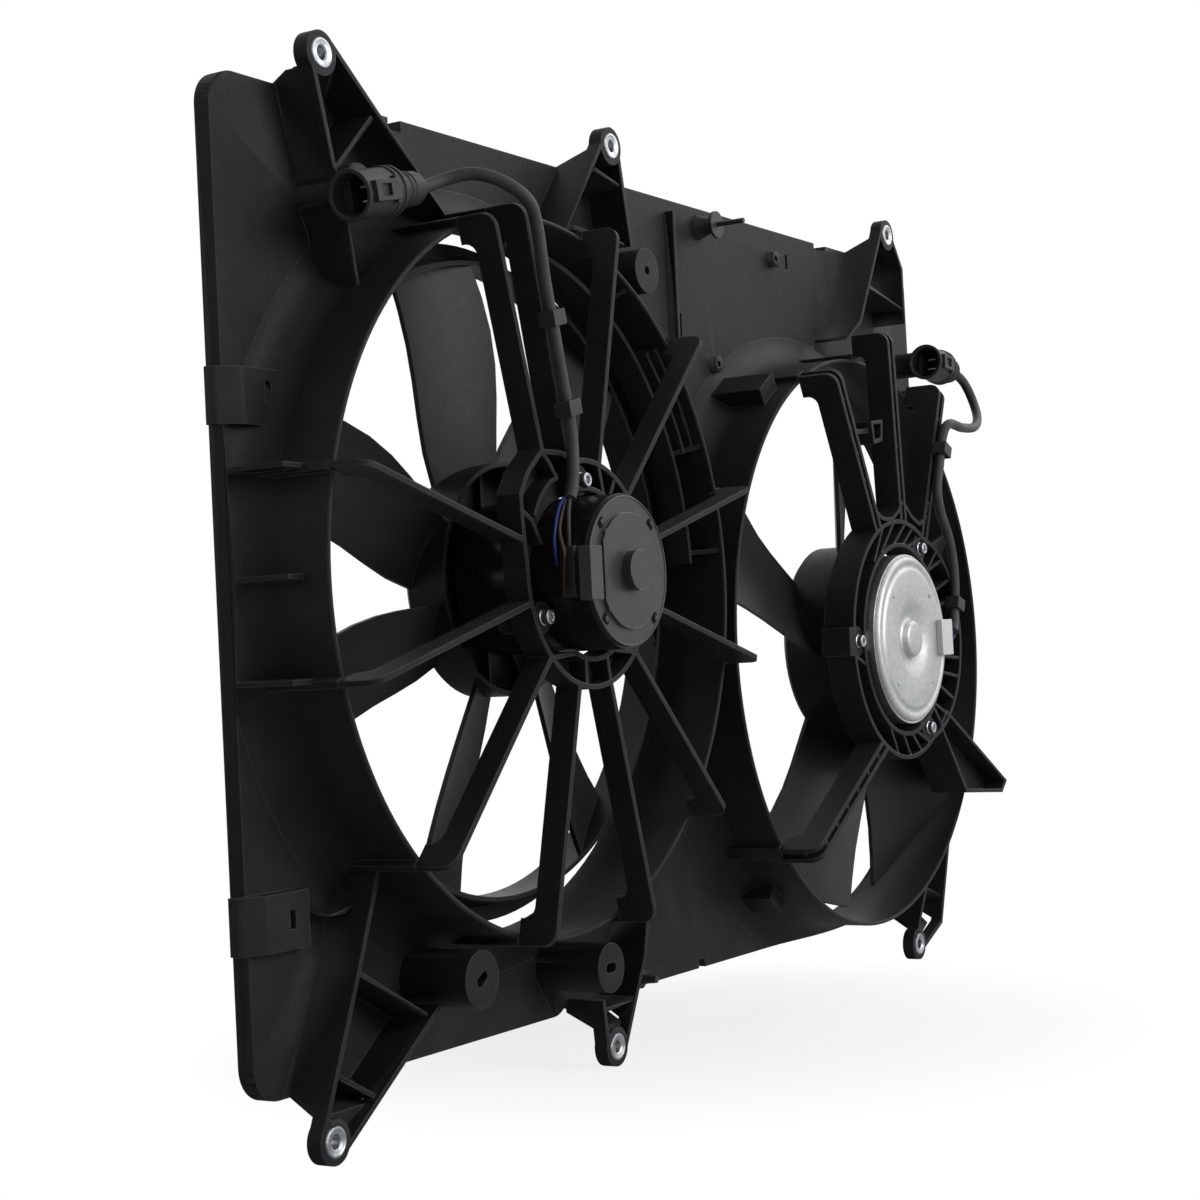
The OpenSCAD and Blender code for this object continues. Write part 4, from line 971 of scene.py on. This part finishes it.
# %% Ear floors and the finished panel
EAR_BACK, EAR_BORE = 24.7, 7.52
FLOORS = [(1, 14, -343.5, -306, -345, -335), (1, 14, -92.6, -61.6, -83, -67),
          (1, 14, 294.5, 331, 302, 320), (-1, 20, -367.4, -321, -374, -359),
          (-1, 20, -125.7, -96, -123, -107), (-1, 20, 309, 347.5, 296.5, 312)]
for sign, reach, foot_a, foot_b, tip_a, tip_b in FLOORS:
    rows = [[], []]
    for x, w in ((-2.5, REAR + 0.5), (0, REAR + 0.5), (9, EAR_BACK), (reach, EAR_BACK),
                 (reach, 27.2), (8, 27.2), (-1, PLATE), (-2.5, PLATE)):
        t = max(0.0, x) / reach
        rows[0].append(at(foot_a + (tip_a - foot_a) * t, sign * (TOP + x), w))
        rows[1].append(at(foot_b + (tip_b - foot_b) * t, sign * (TOP + x), w))
    walls.append(shell(*rows))
walls.append(wall([(29.8, 232), (29.3, 152)], 2.5, REAR + 1, PLATE + 6))
slot = [polar((EDGE + 24.5, 92.5 if t < 90 else 85.5), 2.2, 90 - t) for t in range(-90, 270, 15)]
holes = [prism(slot, -1, 30), rod((EDGE + 25, -157), 2.2, -1, 30, 24),
         box(EDGE + 23, EDGE + 27, -161.5, -152.5, -1, 30)]
holes += [rod(ear, EAR_BORE, 20, 40, 72) for ear in TABS]
carve("panel", walls, holes, ("shroud_panel",), smooth_below=30)


# %% [markdown]
# ## Cover of the right motor
# The right motor ends in a bright pressed cover. From the rim inwards there
# is a rolled edge, a step, a wide flat face, a round trough and the domed
# seat of the bearing. All of it is one outline spun round the shaft.

# %% Right motor cover
cover_outline = [(0, 91.9), (8.8, 91.8), (10.8, 91.4), (11.7, 90.6), (12.0, 88.0), (12.9, 86.8),
                 (14.8, 86.5), (17.6, 87.3), (21.0, 88.9), (24.0, 90.0), (26.8, 90.5), (44.6, 90.5),
                 (45.9, 90.3), (46.8, 89.6), (47.6, 89.3), (49.2, 89.3), (49.9, 89.6), (50.8, 90.0),
                 (52.4, 90.0), (53.6, 89.5), (54.5, 88.4), (54.7, 87.1), (54.0, 86.6), (53.6, 85.2),
                 (0, 85.0)]
cover_mesh = as_template(lathe(cover_outline, 144), "cover", 60)
cover = set_out("right_motor_cover", cover_mesh, [RIGHT + (0, 0)], bright_cap)
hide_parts("right_motor_end_cap")


# %% [markdown]
# ## Pressed marks
# Four small lozenges are pressed into the bright cover, and four tongues are folded through slots
# of the left cover; the slots are flat near-black pads that paint the shade inside them. A pad is a
# small outline with a bevelled top, which the same tree sets out in each place.

# %% Pads
def soft_rect(u0, u1, v0, v1, r):
    points = []
    for cu, cv, a0 in ((u1 - r, v1 - r, 0), (u0 + r, v1 - r, 90), (u0 + r, v0 + r, 180),
                       (u1 - r, v0 + r, 270)):
        points += [polar((cu, cv), r, a0 + 22.5 * k) for k in range(5)]
    return points


def pad(length, width, height, corner, bevel):
    mesh = bmesh.new()
    outline = soft_rect(-length / 2, length / 2, -width / 2, width / 2, corner)
    rim = [mesh.verts.new((x * MM, y * MM, 0)) for x, y in outline]
    base = mesh.faces.new(rim)
    grown = bmesh.ops.extrude_face_region(mesh, geom=[base])
    raised = [v for v in grown["geom"] if isinstance(v, bmesh.types.BMVert)]
    bmesh.ops.translate(mesh, verts=raised, vec=(0, 0, height * MM))
    bmesh.ops.recalc_face_normals(mesh, faces=mesh.faces[:])
    top = [e for e in mesh.edges if all(v.co.z > height * MM * 0.9 for v in e.verts)]
    bmesh.ops.bevel(mesh, geom=top, offset=bevel * MM, segments=2, affect="EDGES", profile=0.6)
    return mesh


def corners(centre, radius, w, turned=0):
    return [polar(centre, radius, a) + (w, a + turned) for a in (45, 135, 225, 315)]


MARKS = {
    "right_cover_marks": ((4.6, 2.6, 0.8, 1.1, 0.4), corners(RIGHT, 40.5, 90.3, 90), bright_cap,
                          "bearing_steel"),
    # Painted shade: the slots of the left cover are flat near-black pads.
    "left_cover_slots": ((4.2, 6.4, 0.35, 1.6, 0.1), corners(LEFT, 34.4, 102.4), painted_slot_shade,
                         "ferrite"),
    "left_cover_tongues": ((2.4, 3.0, 1.3, 0.8, 0.4), corners(LEFT, 34.9, 102.5), painted_plate,
                           "ferrite")}
for name, (size, places, material, slot) in MARKS.items():
    set_out(name, as_template(pad(*size), name + "_pad"), places, material)


# %% [markdown]
# ## Rolled edges of the left cover
# The left cover is painted sheet. Its rim is rolled over, its raised D has a
# soft shoulder, and a collar stands round the bearing seat. The rolls are
# beads, which a tree draws along a path with a small round section.

# %% Bead tree
def bead_tree(material, sides):
    inputs = [("Path", GEOMETRY, None), ("Radius", FLOAT, None), ("Step", FLOAT, None)]
    tree, t_in, t_out = new_group("bead", "GeometryNodeTree", inputs, RESULT)
    line = add(tree, "GeometryNodeMeshToCurve", {"Mesh": t_in["Path"]})
    smooth = add(tree, "GeometryNodeCurveSplineType", {"Curve": line.outputs[0]},
                 spline_type="CATMULL_ROM")
    even = add(tree, "GeometryNodeResampleCurve",
               {"Curve": smooth.outputs[0], "Length": t_in["Step"]},
               mode="LENGTH")
    section = add(tree, "GeometryNodeCurvePrimitiveCircle",
                  {"Resolution": sides, "Radius": t_in["Radius"]})
    tube = add(tree, "GeometryNodeCurveToMesh", {
        "Curve": even.outputs[0], "Profile Curve": section.outputs[0], "Fill Caps": True})
    soft = add(tree, "GeometryNodeSetShadeSmooth", {"Geometry": tube.outputs[0]})
    return dressed(tree, soft.outputs[0], material, t_out[0])


def bead(name, path, radius, material, closed=False, step=1.5, sides=12):
    edges = [(k, k + 1) for k in range(len(path) - 1)]
    if closed:
        edges.append((len(path) - 1, 0))
    line = bpy.data.meshes.new(name)
    line.from_pydata([at(*p) for p in path], edges, [])
    values = {"Radius": radius * MM, "Step": step * MM}
    return settle(stand(name, line), bead_tree(material, sides), values)


def hoop(centre, radius, w, count):
    return [place + (w,) for place in circle(radius, count, centre)]


# %% Left cover beads
shoulder = [polar(LEFT, 29.7, 142 - 284 * k / 80) + (104.3,) for k in range(81)]
bead("left_cover_rim", hoop(LEFT, 38.3, 102.5, 96), 0.5, painted_plate, closed=True)
bead("left_cover_shoulder", shoulder, 0.35, painted_plate, closed=True, sides=8)
bead("left_cover_collar", hoop(LEFT, 10.3, 110.3, 48), 0.35, painted_plate, closed=True,
     sides=8)


# %% [markdown]
# ## Leads
# A sheathed lead runs from each plug over the struts to its motor. The
# solids carry it as a plain eight-sided tube, so a smooth bead takes its
# place, on a route that follows the photograph more closely. At the left
# motor the sheath ends, and three thin wires go on to the cover.

# %% Leads
left_route = [(-296.1, 190.5, 50), (-286, 192.7, 50), (-273, 198, 54), (-263, 201, 65),
              (-255, 196.5, 77), (-246, 188, 85), (-239, 177, 85.5), (-231.5, 148, 84.2),
              (-226, 125, 84.2), (-219.5, 98, 84.2), (-214.5, 74, 84.6), (-217, 58, 86.5),
              (-221.5, 47, 88.5), (-227, 38, 89.8)]
right_route = [(353.5, 154.1, 58), (363, 153.2, 58.5), (373, 146, 62), (373, 132, 68),
               (360, 118, 76), (335, 109, 83), (300, 106, 88), (275, 107, 89), (264.4, 98.9, 88.2),
               (255, 76.8, 88.2), (248.5, 60, 88.4), (252, 44, 88.6), (262, 30, 88.6),
               (269, 13, 88.4), (271, -4, 88.2), (268.6, -18.5, 88.2), (263, -31, 89.5),
               (256.5, -37.5, 91.5)]
for side_name, route in (("left", left_route), ("right", right_route)):
    sheath = bead(side_name + "_lead_sheath", route, 3.3, sleeve_black, step=1.6,
                  sides=24)
    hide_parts(side_name + "_lead_sleeve")
WIRES = {
    "left_thin_wire": (1.1, sleeve_black, "sleeve", [
        (-226, 40, 89.6), (-230.5, 32, 91), (-233, 22, 92), (-234.2, 8, 92.5),
        (-234.5, -10, 92.5)]),
    "left_blue_wire": (1.0, wire_blue, "blue_wire", [
        (-229, 39, 88), (-235.7, 32.2, 88), (-240.9, 17.1, 88), (-239.3, 4, 88)]),
    "left_brown_wire": (1.2, wire_brown, "sleeve", [
        (-224, 43, 88), (-230, 35, 88), (-236.5, 22, 88.6), (-238.4, 10, 92), (-239.7, -3.3, 92),
        (-236, -10, 89)])}
for name, (radius, material, slot, path) in WIRES.items():
    bead(name, path, radius, material, step=1.0)


# %% [markdown]
# ## Plugs
# Each lead ends in a round plug that lies across the panel: a barrel with a
# thick lip and a deep mouth, a latch with a window on top, a foot that sits
# on the post, a stepped neck and seal rings. The barrel is spun, the rest
# are blocks in the plug's own directions, and everything is laid over onto
# its axis and joined.

# %% Plugs
def lay_along(mesh, origin, heading):
    a = math.radians(heading)
    along, across = Vector((math.cos(a), 0, math.sin(a))), Vector((-math.sin(a), 0, math.cos(a)))
    out = Vector((0, -1, 0))
    spot = at(*origin)
    turn_matrix = Matrix(((across.x, out.x, along.x, spot.x), (across.y, out.y, along.y, spot.y),
                          (across.z, out.z, along.z, spot.z), (0, 0, 0, 1)))
    bmesh.ops.transform(mesh, matrix=turn_matrix, verts=mesh.verts[:])
    return outward(mesh)


def block(x0, x1, half_width, out0, out1, middle=0.0):
    mesh = bmesh.new()
    bmesh.ops.create_cube(mesh, size=1)
    for vert in mesh.verts:
        x, y, z = vert.co
        vert.co = ((middle + x * 2 * half_width) * MM, (out0 + (y + 0.5) * (out1 - out0)) * MM,
                   (x0 + (z + 0.5) * (x1 - x0)) * MM)
    return mesh


for side_name, origin, heading, main, neck in (("left", (-345, 180, 50), 12.1, 34, 23),
                                               ("right", (311, 157, 58), -4, 32, 18)):
    end = main + neck
    outline = [(0, main - 8), (10.2, main - 8), (10.2, 0.6), (10.8, 0), (11.4, 0), (11.8, 0.5),
               (11.8, main - 1), (10.8, main), (8.6, main), (8.6, end - 5.6), (8.0, end - 5),
               (6.4, end - 5), (6.4, end - 0.6), (5.8, end), (0, end)]
    forms = [lathe(outline, 64)]
    for x in (0.0, main - 9, main - 4.5):
        forms.append(lathe([(11, x), (12.3, x), (12.6, x + 0.4), (12.6, x + 1.4), (12.3, x + 1.8),
                            (11, x + 1.8)], 64))
    for x in (main + 2.5, main + 6.0, main + 9.5):
        forms.append(lathe([(8.0, x), (9.1, x + 0.5), (9.1, x + 1.3), (8.0, x + 1.8)], 56))
    forms += [block(10, main - 10, 7, -13, -6), block(4, main - 11, 5, 9, 14),
              block(main - 13, main - 11, 6.5, 9, 13)]
    window = lay_along(block(8, 16, 3, 12, 18), origin, heading)
    carve(side_name + "_plug", [lay_along(f, origin, heading) for f in forms], [window],
          (side_name + "_connector",), clip_black, "clip_plastic")
    blades = [block(main - 20, main - 7.9, 0.45, -3, 3, x) for x in (-3.4, 3.4)]
    carve(side_name + "_terminals", [lay_along(f, origin, heading) for f in blades], [], (), zinc,
          "zinc_steel")


# %% [markdown]
# ## Lead blocks
# A small moulded block guides each lead at the edge of its motor cover. The
# left one is grey with a raised tongue, the right one is milky and bridges
# the rim of the cover.

# %% Lead blocks
carve("left_lead_guide", [prism(soft_rect(-47.5, -36.3, -15, 12, 0.9), 102.5, 109.5, LEFT),
                          prism(soft_rect(-40, -30, -13, 10, 1.5), 102.5, 105, LEFT)],
      [], ("left_lead_block",), lead_grey, "pale_plastic")
carve("left_back_tab", [prism(soft_rect(-41.5, -36.5, -13, 13, 2.2), 88, 96, LEFT)], [], (),
      painted_plate, "ferrite")
carve("right_lead_guide", [prism(soft_rect(38, 56, -12, 12, 1.2), 90.6, 94.5, RIGHT),
                           prism(soft_rect(46.5, 56, -12, 12, 1.0), 88.5, 91, RIGHT)],
      [], ("right_lead_block",), pale_plastic, "pale_plastic")


# %% [markdown]
# ## Marks in the plate
# The tool's round ejector pins leave fine circles in the plate. Each is a
# hair-thin bead in a circle.

# %% Ejector marks
for number, place in enumerate(((-384, 230), (-380, 108)), 1):
    bead("ejector_mark_%d" % number, hoop(place, 4.7, PLATE - 0.02, 32), 0.16, shroud_black,
         closed=True, step=0.8, sides=6)


# %% [markdown]
# ## Light and floor
# The photograph is a plain catalogue picture on white, lit from the front.
# The world is white to the camera and in reflections, but it lights the part
# only dimly. One broad front lamp does most of the work, and weak lamps at
# the left, at the rim and low down lift the dark sides. The floor takes a
# soft contact shadow and fades to plain white around the part.

# %% World and lamps
def mixed(tree, factor, first, second):
    return add(tree, "ShaderNodeMixShader", {0: factor, 1: first, 2: second}).outputs[0]


world = bpy.data.worlds.new("studio")
bpy.context.scene.world = world
world.use_nodes = True
wt = world.node_tree
wt.nodes.clear()
ray = add(wt, "ShaderNodeLightPath").outputs
seen = calc(wt, "MAXIMUM", ray["Is Camera Ray"], ray["Is Transmission Ray"])
seen = calc(wt, "MAXIMUM", seen, ray["Is Glossy Ray"])
dim = add(wt, "ShaderNodeBackground", {"Color": (0.9, 0.94, 1.0, 1), "Strength": 0.12})
white = add(wt, "ShaderNodeBackground", {"Color": (1, 1, 1, 1), "Strength": 1.0})
add(wt, "ShaderNodeOutputWorld", {"Surface": mixed(wt, seen, dim.outputs[0], white.outputs[0])})


def lamp(name, place, aim, size, power):
    data = bpy.data.lights.new(name, "AREA")
    data.shape = "RECTANGLE"
    data.size, data.size_y = size
    data.energy = power
    item = stand(name, data)
    item.location = place
    item.rotation_euler = (Vector(aim) - Vector(place)).to_track_quat("-Z", "Y").to_euler()
    print(name, "lamp", power, "W")


lamp("key", (0.4, -2.8, 1.0), (0, 0, 0), (1.8, 1.4), 58)
lamp("left", (-2.2, -1.6, 1.2), (0, 0, 0), (1.0, 1.4), 3)
lamp("rim", (1.6, -0.6, 1.3), (0.1, 0, 0), (0.8, 1.6), 10)
lamp("low", (0.2, -2.0, -0.4), (0, 0, -0.1), (1.2, 0.6), 4)

# %% Floor
FLOOR_GAP, FLOOR_HALF = 0.0005, 6
floor_z = cad_box[0][2] - FLOOR_GAP
floor_mesh = bpy.data.meshes.new("floor")
floor_mesh.from_pydata([(x * FLOOR_HALF, y * FLOOR_HALF, floor_z) for x, y in (
    (-1, -1), (1, -1), (1, 1), (-1, 1))], [], [(0, 1, 2, 3)])
floor = stand("floor", floor_mesh)
pale = bpy.data.materials.new("pale_floor")
pale.use_nodes = True
pt = pale.node_tree
pt.nodes.clear()
place = add(pt, "ShaderNodeTexCoord").outputs["Object"]
away = add(pt, "ShaderNodeVectorMath", {0: place}, operation="LENGTH").outputs["Value"]
ray = add(pt, "ShaderNodeLightPath").outputs
lit = add(pt, "ShaderNodeBsdfDiffuse", {"Color": (0.88, 0.88, 0.88, 1)}).outputs[0]
glow = add(pt, "ShaderNodeEmission", {"Color": (1, 1, 1, 1), "Strength": 1.0}).outputs[0]
near = mixed(pt, span(pt, away, -0.2, 0.4), lit, glow)
add(pt, "ShaderNodeOutputMaterial", {"Surface": mixed(pt, ray["Is Camera Ray"], lit, near)})
floor_mesh.materials.append(pale)
print("floor at", round(floor_z, 4))
